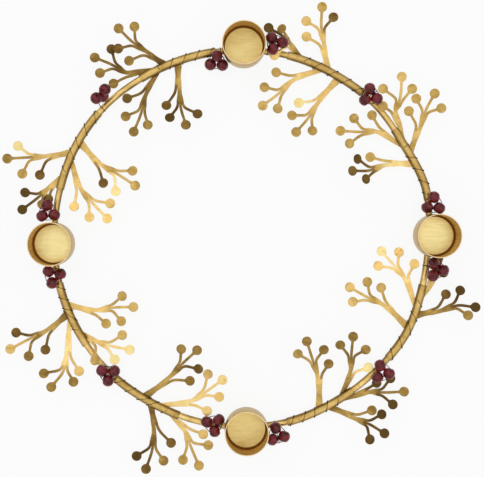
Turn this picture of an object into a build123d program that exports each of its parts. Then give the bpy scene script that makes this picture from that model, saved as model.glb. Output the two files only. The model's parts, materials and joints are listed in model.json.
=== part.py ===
from build123d import *

import os
from math import atan2, cos, degrees, floor, hypot, pi, radians, sin, sqrt, tan

# Candle ring. A round brass rod is bent by hand to a ring. Eight stamped brass sprigs lie on
# it, each with a channel that grips the rod and four twigs that end in discs, and each is bound
# on with thin wire. Four candle cups stand on the ring, brazed to it over small seats, and
# twelve clusters of three glass berries are tied on between them.
# Millimetres. X is right and Y is up as one looks down on the ring, Z is up, and the ring
# stands on its binding wire at Z = 0. Angles are in degrees, counter-clockwise from +X.
# Places on the plan are shares of the ring's radius, in thousandths of it, and those of sprigs
# and berries are as they look from a point above the ring, where what stands higher looks further out.

# Ring rod
RING_RADIUS = 101.0
ROD_DIAMETER = 3.5
ROD_SIDES = 16
RING_CHORDS = 48

# Binding wire
BINDING_WIRE = 0.4
BINDING_GAP = 0.05
BINDING_TURNS = 5
BINDING_OVERHANG = 1.0

# Sprigs, stamped from sheet
SHEET = 0.45
STEM_GAP = 0.05
ROOT_LENGTH = 4.4
TRUNK_WIDTH = 2.9
CROTCH_WIDTH = 3.7
NECK_WIDTH = 2.4
FORK_WIDTH = 3.9
LIMB_WIDTH = 1.5
LIMB_BEND_SHARE = 0.45
DISC_DIAMETER = 5.6
DISC_SIDES = 8

# Candle cups
CUP_BORE = 22.0
CUP_WALL = 0.5
CUP_FLOOR = 0.8
CUP_DEPTH = 17.0
CUP_CORNER = 1.2
CUP_FOOT_CHAMFER = 0.9

# Brazed seats under the cups
SEAT_HEIGHT = 0.3
SEAT_LENGTH = 6.0
SEAT_WIDTH = 7.0
SEAT_FOOT_WIDTH = 4.8
SEAT_GAP = 0.05

# Berries and the wire that carries them
BERRY_DIAMETER = 6.2
BERRY_HOLE = 1.0
BERRY_SIDES = 8
HOLE_SIDES = 4
BERRY_FACET = 1.8
BERRY_LENGTH_SHARE = 0.88
BERRY_GAP = 0.1
BERRY_SEAT_GAP = 0.15
BERRY_CUP_GAP = 0.15
BERRY_WIRE = 0.4
TIE_GAP = 0.05

# The point that the plan is seen from: its height above the ring and its place on the plan
SIGHT_HEIGHT = 640.0
SIGHT_SHARES = (-106, 85)

# What follows from the sizes above
ROD_RADIUS = ROD_DIAMETER / 2
RING_HEIGHT = ROD_RADIUS + max(BINDING_GAP + BINDING_WIRE, TIE_GAP + BERRY_WIRE)
STEM_INSIDE = ROD_RADIUS + STEM_GAP
STEM_OUTSIDE = STEM_INSIDE + SHEET
CUP_RADIUS = CUP_BORE / 2 + CUP_WALL
CUP_BASE = RING_HEIGHT + ROD_RADIUS + SEAT_HEIGHT
BERRY_RADIUS = BERRY_DIAMETER / 2
BERRY_LENGTH = BERRY_DIAMETER * BERRY_LENGTH_SHARE

# Three berries in a ring lean on each other at 30 degrees to their own spokes
BERRY_REACH = BERRY_RADIUS * cos(radians(30)) + (BERRY_LENGTH / 2 - BERRY_FACET) * sin(radians(30))
BERRY_PITCH = 2 * BERRY_REACH + BERRY_GAP

# The rod's distance from the middle at every 15 degrees, as bent by hand, in shares of RING_RADIUS
BEND_STEP = 15
RING_BEND_SHARES = [
    0.988, 1.008, 0.989, 0.998, 0.995, 0.997, 0.995, 0.996,
    0.998, 1.006, 1.006, 0.998, 0.995, 0.997, 0.998, 1.000,
    0.995, 0.998, 1.000, 1.003, 0.997, 0.998, 1.005, 0.989,
]

# The middle of each cup on the plan
CUP_SHARES = {"right": (1013, 13), "top": (8, 1007), "left": (-993, -30), "bottom": (22, -1003)}

# Each sprig's stem, from butt to tip, then its twigs. A twig is its root, crotch, fork, the disc
# of its first shoot and the three discs of its fork, on the plan, and then the lifts of its
# trunk, neck, shoot and three limbs above the level.
SPRIG_SHARES = {
    "upper_left": (98.0, 122.5, [
        ((-338, 915), (-338, 805), (-327, 718), (-400, 700),
         (-382, 636), (-297, 598), (-235, 656), (10, 16, 20, 22, 14, 12)),
        ((-430, 948), (-487, 966), (-553, 1018), (-598, 938),
         (-656, 1003), (-654, 1110), (-570, 1120), (14, 16, 4, 12, 16, 10)),
        ((-450, 862), (-503, 785), (-525, 695), (-608, 738),
         (-616, 643), (-573, 562), (-499, 598), (12, 14, 8, 12, 8, 12)),
        ((-485, 887), (-590, 868), (-655, 898), (-680, 817),
         (-752, 873), (-780, 955), (-692, 1000), (3, 12, -3, 4, 8, 2)),
    ]),
    "left_upper": (138.8, 165.0, [
        ((-845, 495), (-768, 402), (-690, 356), (-733, 290),
         (-668, 247), (-565, 277), (-578, 355), (12, 10, 18, 4, 8, 14)),
        ((-915, 450), (-1010, 430), (-1100, 428), (-1070, 333),
         (-1163, 340), (-1243, 420), (-1187, 487), (8, 10, 16, 8, 12, 20)),
        ((-890, 390), (-870, 285), (-815, 213), (-888, 167),
         (-807, 110), (-713, 103), (-697, 183), (8, 6, 8, 10, 8, 4)),
        ((-985, 320), (-1008, 270), (-1055, 235), (-1024, 207),
         (-1058, 178), (-1163, 150), (-1149, 240), (0, 6, -12, -16, 22, 24)),
    ]),
    "left_lower": (193.9, 214.5, [
        ((-925, -362), (-800, -385), (-710, -373), (-718, -453),
         (-638, -440), (-574, -365), (-633, -307), (10, 8, 12, 12, 6, 16)),
        ((-945, -415), (-1008, -478), (-1095, -520), (-1041, -592),
         (-1130, -626), (-1227, -588), (-1198, -502), (12, 14, 22, 12, 8, 26)),
        ((-925, -450), (-920, -595), (-937, -672), (-862, -705),
         (-892, -762), (-1010, -790), (-1050, -718), (8, 14, 6, 14, 16, 14)),
        ((-838, -512), (-785, -545), (-730, -560), (-778, -648),
         (-673, -642), (-594, -590), (-632, -513), (26, 6, 10, 4, 6, 12)),
    ]),
    "lower_left": (227.9, 250.5, [
        ((-507, -835), (-400, -758), (-332, -683), (-275, -755),
         (-230, -692), (-237, -593), (-321, -587), (10, 14, 10, 18, 14, 12)),
        ((-480, -890), (-463, -980), (-470, -1085), (-375, -1085),
         (-415, -1178), (-508, -1223), (-558, -1155), (12, 8, 20, 10, 22, 24)),
        ((-415, -888), (-285, -872), (-218, -832), (-185, -915),
         (-120, -840), (-103, -750), (-180, -720), (8, 6, 2, 4, 6, 10)),
        ((-370, -950), (-312, -997), (-285, -1065), (-205, -1038),
         (-178, -1097), (-228, -1205), (-312, -1175), (2, 12, -4, 12, 10, 8)),
    ]),
    "lower_right": (283.8, 306.0, [
        ((412, -895), (408, -750), (383, -672), (458, -665),
         (433, -590), (343, -546), (295, -612), (8, 12, 12, 14, 10, 16)),
        ((475, -900), (575, -938), (648, -975), (688, -912),
         (742, -935), (757, -1037), (680, -1070), (10, 22, 20, 24, 26, 24)),
        ((530, -815), (573, -728), (578, -645), (668, -685),
         (655, -590), (588, -521), (520, -565), (12, 16, 2, 12, 12, 16)),
        ((545, -840), (655, -812), (715, -815), (712, -767),
         (785, -742), (857, -812), (798, -880), (0, -6, -10, -6, 6, 22)),
    ]),
    "right_lower": (320.5, 345.5, [
        ((868, -462), (768, -362), (690, -325), (735, -262),
         (662, -232), (570, -260), (585, -337), (10, 10, 14, 12, 6, 12)),
        ((925, -405), (1012, -388), (1110, -365), (1080, -297),
         (1158, -277), (1240, -367), (1200, -410), (16, 22, 24, 26, 24, 14)),
        ((905, -340), (873, -225), (828, -172), (912, -137),
         (830, -75), (738, -70), (720, -147), (6, 4, 4, 6, 4, 6)),
        ((955, -300), (1003, -228), (1028, -190), (1024, -140),
         (1034, -98), (1068, -74), (1066, -183), (0, -2, -4, -4, -2, 12)),
    ]),
    "right_upper": (11.5, 35.5, [
        ((903, 398), (785, 395), (705, 367), (678, 428),
         (610, 418), (583, 355), (655, 312), (6, 26, 6, 30, 28, 30)),
        ((922, 480), (927, 560), (963, 648), (883, 672),
         (922, 738), (1020, 765), (1056, 688), (14, 12, 10, 10, 12, 16)),
        ((848, 503), (742, 557), (660, 562), (687, 650),
         (592, 633), (520, 567), (568, 500), (8, 10, 14, 12, 10, 14)),
        ((880, 550), (808, 655), (823, 703), (745, 698),
         (745, 790), (845, 853), (900, 790), (10, 2, 0, 14, 6, 12)),
    ]),
    "upper_right": (50.3, 76.0, [
        ((500, 830), (412, 738), (368, 662), (300, 715),
         (264, 648), (286, 560), (372, 567), (8, 14, 2, 14, 12, 16)),
        ((455, 915), (433, 995), (424, 1085), (341, 1065),
         (340, 1148), (424, 1223), (484, 1170), (8, 10, 8, 8, 14, 24)),
        ((405, 885), (295, 853), (218, 787), (180, 876),
         (118, 797), (109, 700), (188, 684), (8, 8, 14, 12, 8, 14)),
        ((300, 975), (262, 1010), (232, 1050), (172, 968),
         (160, 1042), (140, 1110), (208, 1105), (22, -15, -2, -12, 4, 42)),
    ]),
}

# Each berry cluster's middle on the plan, then the turn of its triangle, its tilt, the direction
# in which the tilt goes down, how far along the ring from it its wire is tied, and how far it stands
# above the ring where it lies over a twig. Both of these are shares of a berry.
BERRY_CLUSTER_SHARES = {
    "right_above": ((1013, 177), 86, 0, 0, -0.42, 0),
    "upper_right": ((680, 753), 96, 0, 0, 0, 0),
    "top_right": ((178, 1031), 6, 15, 90, 0.55, 0.35),
    "top_left": ((-130, 935), 87, 40, 270, -0.48, 0),
    "upper_left": ((-743, 757), 75, 80, 315, 0.75, 0),
    "left_above": ((-1027, 138), 95, 0, 0, 0.05, 0),
    "left_below": ((-997, -200), 17, 0, 0, -0.25, 0),
    "lower_left": ((-708, -719), 28, 15, 270, -0.1, 0),
    "bottom_left": ((-151, -986), 40, 0, 0, 0.2, 0),
    "bottom_right": ((181, -1039), -15, 0, 0, -0.05, 0),
    "lower_right": ((742, -710), -12, 0, 0, -0.05, 0),
    "right_below": ((1028, -168), -3, 10, 0, 0.2, 0.3),
}


def smooth_share(shares, position):
    """Read a closed table of evenly spaced shares at any position, with a smooth run between them."""
    first = floor(position)
    rest = position - first
    before, here, after, beyond = (shares[(first + step) % len(shares)] for step in (-1, 0, 1, 2))
    slope_here = (after - before) / 2
    slope_after = (beyond - here) / 2
    blend = rest * rest * (3 - 2 * rest)
    bend = rest * (1 - rest) * (slope_here * (1 - rest) - slope_after * rest)
    return here + (after - here) * blend + bend


def station_point(index):
    """The corner of the rod's centreline where two of its chords meet."""
    angle = (index + 0.5) * 360 / RING_CHORDS
    radius = RING_RADIUS * smooth_share(RING_BEND_SHARES, angle / BEND_STEP)
    return Vector(radius * cos(radians(angle)), radius * sin(radians(angle)), RING_HEIGHT)


def chord_position(angle):
    """Which chord an angle falls on, counted with its fraction along that chord."""
    return angle * RING_CHORDS / 360 - 0.5


def ring_plane(angle):
    """The plane square to the rod at an angle: X outwards, Y up, origin on the centreline."""
    position = chord_position(angle)
    first = floor(position + 1e-9)
    rest = position - first
    start, end = station_point(first), station_point(first + 1)
    along = (end - start).normalized()
    if abs(rest) < 1e-6:
        along = (along + (start - station_point(first - 1)).normalized()).normalized()
    outward = along.cross(Vector(0, 0, 1))
    return Plane(origin=start + (end - start) * rest, x_dir=outward, z_dir=outward.cross(Vector(0, 0, 1)))


def ring_angles(start, end):
    """A stretch of the ring: its two ends and every corner of the rod between them."""
    first = floor(chord_position(start)) + 1
    last = floor(chord_position(end) - 1e-9)
    corners = [(index + 0.5) * 360 / RING_CHORDS for index in range(first, last + 1)]
    return [start] + [corner for corner in corners if start + 0.1 < corner < end - 0.1] + [end]


def arc_angle(length):
    """The angle that a length along the ring takes up."""
    return degrees(length / RING_RADIUS)


def place(shares, height=0.0):
    """A place on the plan, in millimetres, from its shares in thousandths of the ring's radius."""
    return Vector(shares[0] * RING_RADIUS / 1000, shares[1] * RING_RADIUS / 1000, height)


def polar_angle(point):
    """The direction of a place from the ring's middle, from 0 to 360 degrees."""
    return degrees(atan2(point.Y, point.X)) % 360


def flat(point):
    """A point dropped onto the plan."""
    return Vector(point.X, point.Y, 0)


def flat_heading(start, end):
    """The level direction from one point to another."""
    return flat(end - start).normalized()


def across(heading):
    """The level direction to the left of a heading."""
    return Vector(-heading.Y, heading.X, 0)


def middle(left, right):
    """The point halfway between two others."""
    return (left + right) * 0.5


def in_sight(point, height):
    """A place on the plan, brought in from where it looks to be, at its height above the table."""
    shift = (place(SIGHT_SHARES) - flat(point)) * ((height - RING_HEIGHT) / SIGHT_HEIGHT)
    return flat(point) + shift + Vector(0, 0, height)


def climbed(start, point, lift):
    """A place on the plan at the height to which sheet climbs from a start at a lift."""
    return in_sight(point, start.Z + flat(point - start).length * tan(radians(lift)))


def octagon_corner(apothem, step):
    """A corner of an octagon round the rod, counted from the one just below its outer side."""
    angle = radians(45 * step - 22.5)
    radius = apothem / cos(radians(22.5))
    return (radius * cos(angle), radius * sin(angle))


def make_ring_rod():
    """The rod: a closed ring of short straight chords, in two halves that join."""
    with BuildPart() as ring_rod:
        for half in range(2):
            for step in range(RING_CHORDS // 2 + 1):
                angle = (step + half * RING_CHORDS / 2 + 0.5) * 360 / RING_CHORDS
                with BuildSketch(ring_plane(angle)):
                    RegularPolygon(ROD_RADIUS, ROD_SIDES)
            loft(ruled=True)
    return ring_rod


def make_cup(shares):
    """A candle cup, turned about its axis: a thin straight wall on a floor with bevelled corners."""
    foot = place(shares, CUP_BASE)
    bore = CUP_BORE / 2
    with BuildPart() as cup:
        with BuildSketch(Plane(origin=foot, x_dir=(1, 0, 0), z_dir=(0, -1, 0))):
            with BuildLine():
                Polyline(
                    (0, 0),
                    (CUP_RADIUS - CUP_FOOT_CHAMFER, 0),
                    (CUP_RADIUS, CUP_FOOT_CHAMFER),
                    (CUP_RADIUS, CUP_FLOOR + CUP_DEPTH),
                    (bore, CUP_FLOOR + CUP_DEPTH),
                    (bore, CUP_FLOOR + CUP_CORNER),
                    (bore - CUP_CORNER, CUP_FLOOR),
                    (0, CUP_FLOOR),
                    close=True,
                )
            make_face()
        revolve(axis=Axis(foot, (0, 0, 1)))
    return cup


def make_seat(angle):
    """The braze under a cup: a small block that grips the upper half of the rod."""
    top = CUP_BASE - RING_HEIGHT
    with BuildPart() as seat:
        with BuildSketch(ring_plane(angle).offset(-SEAT_LENGTH / 2)):
            with BuildLine():
                Polyline(
                    (-SEAT_FOOT_WIDTH / 2, 0),
                    (SEAT_FOOT_WIDTH / 2, 0),
                    (SEAT_WIDTH / 2, top),
                    (-SEAT_WIDTH / 2, top),
                    close=True,
                )
            make_face()
            Circle(ROD_RADIUS + SEAT_GAP, mode=Mode.SUBTRACT)
        extrude(amount=SEAT_LENGTH)
    return seat


def raised(hinge, points, heading, lift):
    """Lift points off the plan onto the flat facet that turns about a hinge and climbs at a lift."""
    left, right = hinge
    width = flat_heading(left, right)
    forward = across(width)
    slope_across = (right.Z - left.Z) / flat(right - left).length
    slope_along = (tan(radians(lift)) - slope_across * heading.dot(width)) / heading.dot(forward)
    lifted = []
    for point in points:
        offset = flat(point - left)
        height = left.Z + offset.dot(width) * slope_across + offset.dot(forward) * slope_along
        lifted.append(Vector(point.X, point.Y, height))
    return lifted


def bent(start, heading, end, share):
    """A point on the plan along a limb that starts on a heading and bends towards its end."""
    control = start + heading * ((end - start).length * LIMB_BEND_SHARE)
    return start * (1 - share) ** 2 + control * (2 * share * (1 - share)) + end * share**2


def limb_facets(hinge, heading, disc_middle, lifts):
    """A limb that leaves a hinge on a heading and bends to its disc: two flat facets of sheet."""
    start = flat(middle(*hinge))
    radius = DISC_DIAMETER / 2
    knee = bent(start, heading, disc_middle, 0.5 * (1 - radius / (disc_middle - start).length))
    turn = flat_heading(start, knee)
    facing = flat_heading(knee, disc_middle)
    side = across((turn + facing).normalized()) * (LIMB_WIDTH / 2)
    knee_edge = raised(hinge, [knee + side, knee - side], turn, lifts[0])
    rim = []
    for corner in range(DISC_SIDES):
        angle = 2 * pi * (corner + 0.5) / DISC_SIDES - pi
        along = facing * (radius * cos(angle) * cos(radians(lifts[1])))
        rim.append(disc_middle + along + across(facing) * (radius * sin(angle)))
    rim = raised(knee_edge, rim, facing, lifts[1])
    return [[*hinge, *reversed(knee_edge)], [*knee_edge, *rim]]


def clear_of_rod(knee, across_twig, side):
    """Move the middle of a twig's trunk out from the ring until its edge clears the rod."""
    spot = ring_plane(polar_angle(knee))
    outward = spot.x_dir * side
    offset = abs(spot.to_local_coords(knee).X)
    edge = offset - abs(across_twig.dot(outward)) * (TRUNK_WIDTH / 2)
    return knee + outward * max(STEM_INSIDE - edge, 0)


def twig_facets(row):
    """One twig as flat facets of sheet that share their hinges, from its root in the stem's wall."""
    root, crotch, fork, shoot, *tips = (place(shares) for shares in row[:7])
    trunk_lift, neck_lift, shoot_lift, *tip_lifts = row[7]
    root_edge = twig_root(row)
    foot = middle(*root_edge)
    crotch = climbed(foot, crotch, trunk_lift)
    fork = climbed(crotch, fork, neck_lift)
    shoot = flat(climbed(crotch, shoot, (trunk_lift + 3 * shoot_lift) / 4))
    tips = [flat(climbed(fork, tip, (neck_lift + 3 * lift) / 4)) for tip, lift in zip(tips, tip_lifts)]
    crotch, fork = flat(crotch), flat(fork)
    heading = flat_heading(foot, crotch)
    side = across(heading)
    knee = clear_of_rod(middle(flat(foot), crotch), side, twig_side(row))
    knee += Vector(0, 0, foot.Z + (knee - flat(foot)).length * tan(radians(trunk_lift)))
    knee_edge = [knee + side * (TRUNK_WIDTH / 2), knee - side * (TRUNK_WIDTH / 2)]
    facets = [[*root_edge, knee_edge[1]], [root_edge[0], *reversed(knee_edge)]]

    shoot_side = 1 if side.dot(shoot - crotch) > 0 else -1
    notch = side * ((CROTCH_WIDTH / 2 - LIMB_WIDTH) * shoot_side)
    crotch_edge = [crotch + side * (CROTCH_WIDTH / 2), crotch + notch, crotch - side * (CROTCH_WIDTH / 2)]
    crotch_edge = raised(knee_edge, crotch_edge, heading, trunk_lift)
    facets.append([*knee_edge, *reversed(crotch_edge)])
    shoot_hinge, neck_hinge = crotch_edge[:2], crotch_edge[1:]
    if shoot_side < 0:
        shoot_hinge, neck_hinge = neck_hinge, shoot_hinge
    facets += limb_facets(shoot_hinge, heading, shoot, ((trunk_lift + shoot_lift) / 2, shoot_lift))

    start = flat(middle(*neck_hinge))
    knee = bent(start, heading, fork, 0.5)
    side = across(flat_heading(start, fork)) * (NECK_WIDTH / 2)
    neck_edge = raised(neck_hinge, [knee + side, knee - side], flat_heading(start, knee),
                       (trunk_lift + neck_lift) / 2)
    onward = flat_heading(knee, fork)
    fork_edge = [fork + across(onward) * (FORK_WIDTH * share) for share in (1 / 2, 1 / 6, -1 / 6, -1 / 2)]
    fork_edge = raised(neck_edge, fork_edge, onward, neck_lift)
    facets.append([*neck_hinge, *reversed(neck_edge)])
    facets.append([*neck_edge, *reversed(fork_edge)])

    limbs = sorted(zip(tips, tip_lifts), key=lambda limb: -across(onward).dot(flat_heading(fork, limb[0])))
    for position, (tip, lift) in enumerate(limbs):
        facets += limb_facets(fork_edge[position:position + 2], onward, tip, ((neck_lift + lift) / 2, lift))
    return facets


def twig_side(row):
    """Plus one for a twig on the outer side of the ring and minus one for the inner side."""
    return 1 if hypot(*row[1]) > hypot(*row[0]) else -1


def twig_root(row):
    """The two ends of a twig's root, left and right of its heading, halfway into the stem's wall."""
    side = twig_side(row)
    wall = Vector(side * (STEM_OUTSIDE - SHEET / 2), -SHEET / 2, 0)
    turn = side * arc_angle(ROOT_LENGTH / 2)
    angle = polar_angle(place(row[0]))
    return [ring_plane(angle + turn).from_local_coords(wall), ring_plane(angle - turn).from_local_coords(wall)]


def make_sprig(butt, tip, rows):
    """A stamped sprig: a channel folded over the rod, and its twigs, in one piece of sheet."""
    outer = [octagon_corner(STEM_OUTSIDE, step) for step in range(6)]
    inner = [octagon_corner(STEM_INSIDE, step) for step in range(6)]
    with BuildPart() as sprig:
        for angle in ring_angles(butt, tip):
            with BuildSketch(ring_plane(angle)):
                with BuildLine():
                    Polyline(*outer, *reversed(inner), close=True)
                make_face()
        loft(ruled=True)
        facets = [facet for row in rows for facet in twig_facets(row)]
        extrude([Face(Wire.make_polygon(facet)) for facet in facets], amount=SHEET, dir=(0, 0, 1))
    return sprig


def root_zone(row):
    """The stretch of the stem's wall that a twig takes up, with the room that a wire beside it needs."""
    angle = polar_angle(place(row[0]))
    half = arc_angle(ROOT_LENGTH / 2 + BINDING_WIRE + BINDING_GAP)
    heading = flat_heading(middle(*twig_root(row)), place(row[1]))
    spot = ring_plane(angle)
    lean = -heading.dot(spot.z_dir) / abs(heading.dot(spot.x_dir))
    spread = arc_angle((SHEET / 2 + BINDING_GAP + BINDING_WIRE) * lean)
    return (angle - half + min(spread, 0), angle + half + max(spread, 0))


def root_zones(rows, side):
    """The stretches of one side of the stem where no wire can cross, with those that meet joined."""
    zones = []
    for start, end in sorted(root_zone(row) for row in rows if twig_side(row) == side):
        if zones and start < zones[-1][1]:
            start = zones.pop()[0]
        zones.append((start, end))
    return zones


def clear_of_roots(angle, zones):
    """Move a crossing of the binding wire to the nearer end of any root that it would cut."""
    for start, end in zones:
        if start < angle < end:
            return start if angle - start < end - angle else end
    return angle


def binding_spots(butt, tip, rows):
    """The corners of a binding wire: each one's middle and the ring's plane through it."""
    zones = {side: root_zones(rows, side) for side in (1, -1)}
    start = butt + arc_angle(BINDING_OVERHANG)
    end = min(root_zone(rows[-1])[0], tip)
    crossings = []
    for crossing in range(2 * BINDING_TURNS):
        angle = start + (end - start) * crossing / (2 * BINDING_TURNS - 1)
        crossings.append(clear_of_roots(angle, zones[1 - 2 * (crossing % 2)]))
    over_stem = STEM_OUTSIDE + BINDING_GAP + BINDING_WIRE / 2
    under_rod = ROD_RADIUS + BINDING_GAP + BINDING_WIRE / 2
    spots = []
    for crossing, (angle, ahead) in enumerate(zip(crossings, crossings[1:])):
        for step in range(4):
            corner = step + 4 * (crossing % 2)
            spot = ring_plane(angle + (ahead - angle) * max(0, step - 1) / 3)
            apothem = under_rod if corner > 5 else over_stem
            spots.append((spot.from_local_coords(Vector(*octagon_corner(apothem, corner), 0)), spot))
    return spots


def least_gap(spots):
    """The least gap between two turns of a wire, measured between points along it."""
    points = [spot[0] + (ahead[0] - spot[0]) * (part / 4)
              for spot, ahead in zip(spots, spots[1:]) for part in range(4)]
    half_turn = 4 * 4
    least = min((points[after] - points[before]).length
                for before in range(len(points)) for after in range(before + half_turn, len(points)))
    return least - BINDING_WIRE


def make_binding(spots):
    """The wire that binds a sprig to the rod: one length wound round both, between the twigs."""
    with BuildPart() as binding:
        for centre, spot in spots:
            radial = (centre - spot.origin).normalized()
            with BuildSketch(Plane(origin=centre, x_dir=radial, z_dir=radial.cross(spot.z_dir))):
                Rectangle(BINDING_WIRE / cos(radians(22.5)), BINDING_WIRE)
        loft(ruled=True)
    return binding


def bound_radius(angle):
    """How far out from the rod's middle a berry finds something to lie on: a stem or a tie."""
    margin = arc_angle(BERRY_RADIUS)
    for butt, tip, _ in SPRIG_SHARES.values():
        if butt - margin < angle < tip + margin:
            return (STEM_OUTSIDE + BINDING_GAP + BINDING_WIRE) / cos(radians(22.5))
    return (ROD_RADIUS + TIE_GAP + BERRY_WIRE) / cos(radians(22.5))


def resting_height(centre, spokes):
    """How high a cluster's middle has to be for its berries to clear the rod and the table."""
    rests = []
    for spoke, _ in spokes:
        berry = centre + spoke * (BERRY_PITCH / sqrt(3))
        angle = polar_angle(berry)
        offset = abs(ring_plane(angle).to_local_coords(berry).X)
        clearance = bound_radius(angle) + BERRY_SEAT_GAP + BERRY_RADIUS
        on_rod = RING_HEIGHT + sqrt(max(clearance**2 - offset**2, 0))
        rests.append(max(on_rod, BERRY_RADIUS + BERRY_SEAT_GAP) - berry.Z)
    return max(rests)


def threaded_points(planes):
    """The corners of the wire that runs through a cluster's berries: where it leaves each hole."""
    return [plane.origin + plane.z_dir * (BERRY_RADIUS * end) for plane in planes for end in (-1, 1)]


def clear_of_cups(centre, planes):
    """How far to move a cluster, away from the cup beside it, until its berries and wire clear it."""
    rounds = [(plane.origin, BERRY_RADIUS) for plane in planes]
    rounds += [(corner, BERRY_WIRE) for corner in threaded_points(planes)]
    moves = [Vector(0, 0, 0)]
    for shares in CUP_SHARES.values():
        cup = place(shares)
        away = flat_heading(cup, centre)
        for point, radius in rounds:
            offset = flat(point - cup)
            need = CUP_RADIUS + BERRY_CUP_GAP + radius
            if offset.length < need:
                along = offset.dot(away)
                moves.append(away * (sqrt(need**2 - offset.length**2 + along**2) - along))
    return max(moves, key=lambda move: move.length)


def berry_planes(middle_shares, spin, tilt, downhill, rise_share):
    """The planes of a cluster's three berries, each square to its hole, clear of rod and table."""
    down = Vector(cos(radians(downhill)), sin(radians(downhill)), 0)
    forward = down * cos(radians(tilt)) - Vector(0, 0, sin(radians(tilt)))
    level = across(down)
    spokes = []
    for berry in range(3):
        turn = radians(spin + 120 * berry - downhill)
        spokes.append((forward * cos(turn) + level * sin(turn), level * cos(turn) - forward * sin(turn)))
    rise = BERRY_DIAMETER * rise_share
    base = place(middle_shares)
    base = flat(in_sight(base, resting_height(base, spokes) + rise))
    reach = BERRY_PITCH / sqrt(3)
    planes = [Plane(origin=base + spoke * reach, x_dir=spoke, z_dir=hole) for spoke, hole in spokes]
    base += clear_of_cups(base, planes)
    base += Vector(0, 0, resting_height(base, spokes) + rise)
    return [Plane(origin=base + spoke * reach, x_dir=spoke, z_dir=hole) for spoke, hole in spokes]


def make_berry():
    """A faceted glass berry: a short prism with bevelled ends and a hole through it."""
    with BuildPart() as berry:
        with BuildSketch():
            RegularPolygon(BERRY_RADIUS, BERRY_SIDES)
            RegularPolygon(BERRY_HOLE / 2, HOLE_SIDES, major_radius=False, mode=Mode.SUBTRACT)
        extrude(amount=BERRY_LENGTH / 2, both=True)
        ends = berry.faces().filter_by(Plane.XY)
        chamfer([end.outer_wire().edges() for end in ends], length=BERRY_FACET)
    return berry


def make_berries(planes):
    """The three berries of a cluster, each on its own plane."""
    berry = make_berry()
    with BuildPart() as berries:
        with Locations(*planes):
            add(berry.part)
    return berries


def loop_planes(corners, facing):
    """Planes halfway round each corner of a flat loop, with the stretch that a mitre needs there."""
    planes = []
    for index, corner in enumerate(corners):
        arriving = (corner - corners[index - 1]).normalized()
        leaving = (corners[(index + 1) % len(corners)] - corner).normalized()
        along = (arriving + leaving).normalized()
        planes.append((Plane(origin=corner, x_dir=along.cross(facing), z_dir=along), 1 / along.dot(leaving)))
    return planes


def fouls(start, end, planes, spot):
    """Whether a straight leg of wire would cut any of the berries, or meet the tie too flat."""
    steps = [start + (end - start) * (step / 8) for step in range(9)]
    nearest = min((step - plane.origin).length for step in steps for plane in planes)
    rise = (start - end).normalized().dot((end - spot.origin).normalized())
    return nearest < BERRY_RADIUS + BERRY_WIRE or rise < cos(radians(60))


def make_berry_wire(planes, lead_share):
    """A cluster's wire: a loop through its three berries, a leg down to the rod and a tie round it."""
    centre = (planes[0].origin + planes[1].origin + planes[2].origin) / 3
    threaded = threaded_points(planes)
    facing = planes[0].x_dir.cross(planes[0].z_dir)
    spot = ring_plane(polar_angle(centre) + arc_angle(BERRY_DIAMETER * lead_share))
    apothem = ROD_RADIUS + TIE_GAP + BERRY_WIRE / 2
    tie = [spot.from_local_coords(Vector(*octagon_corner(apothem, step), 0)) for step in range(8)]
    links = [middle(threaded[index - 1], threaded[index]) for index in (0, 2, 4)]
    sides = [middle(tie[step - 1], tie[step]) for step in range(8)]
    legs = [(link, side) for link in links for side in sides]
    leg_start, leg_end = min(legs, key=lambda leg: (fouls(*leg, planes, spot), (leg[0] - leg[1]).length))
    with BuildPart() as berry_wire:
        for corners, normal in ((threaded, facing), (tie, spot.z_dir)):
            sections = loop_planes(corners, normal)
            half = len(corners) // 2
            for first in (0, half):
                for index in range(first, first + half + 1):
                    plane, stretch = sections[index % len(corners)]
                    with BuildSketch(plane):
                        Rectangle(BERRY_WIRE * stretch, BERRY_WIRE)
                loft(ruled=True)
        with BuildSketch(Plane(origin=leg_start, z_dir=leg_end - leg_start)):
            Rectangle(BERRY_WIRE, BERRY_WIRE)
        extrude(amount=(leg_end - leg_start).length)
    return berry_wire


pieces = {"ring_rod": make_ring_rod()}
for name, shares in CUP_SHARES.items():
    pieces[f"candle_cup_{name}"] = make_cup(shares)
    pieces[f"cup_seat_{name}"] = make_seat(polar_angle(place(shares)))
for name, (butt, tip, rows) in SPRIG_SHARES.items():
    pieces[f"sprig_{name}"] = make_sprig(butt, tip, rows)
    spots = binding_spots(butt, tip, rows)
    pieces[f"binding_wire_{name}"] = make_binding(spots)
    print(f"binding_wire_{name}: least gap to itself {least_gap(spots):.2f} mm")
for name, (*cluster, lead_share, rise_share) in BERRY_CLUSTER_SHARES.items():
    planes = berry_planes(*cluster, rise_share)
    pieces[f"berries_{name}"] = make_berries(planes)
    pieces[f"berry_wire_{name}"] = make_berry_wire(planes, lead_share)

os.makedirs("parts", exist_ok=True)
for name, piece in pieces.items():
    piece.part.label = name
    export_step(piece.part, f"parts/{name}.step")
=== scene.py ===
"""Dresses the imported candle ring: its rod, cups, stamped sprigs, binding wires and glass berries.

Everything is in metres. X is right and Y is up as one looks down on the ring, Z is up, and the
ring stands at Z = 0. Angles on the plan are in degrees, counter-clockwise from +X. Places on the
plan are shares of the ring's radius, in thousandths of it, and those of sprigs and berries are as
they look from a point above the ring, where what stands higher looks further out.
"""

import json
import logging
import math
from dataclasses import dataclass, field
from enum import Enum

import bmesh
import bpy
from mathutils import Matrix, Vector

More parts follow.
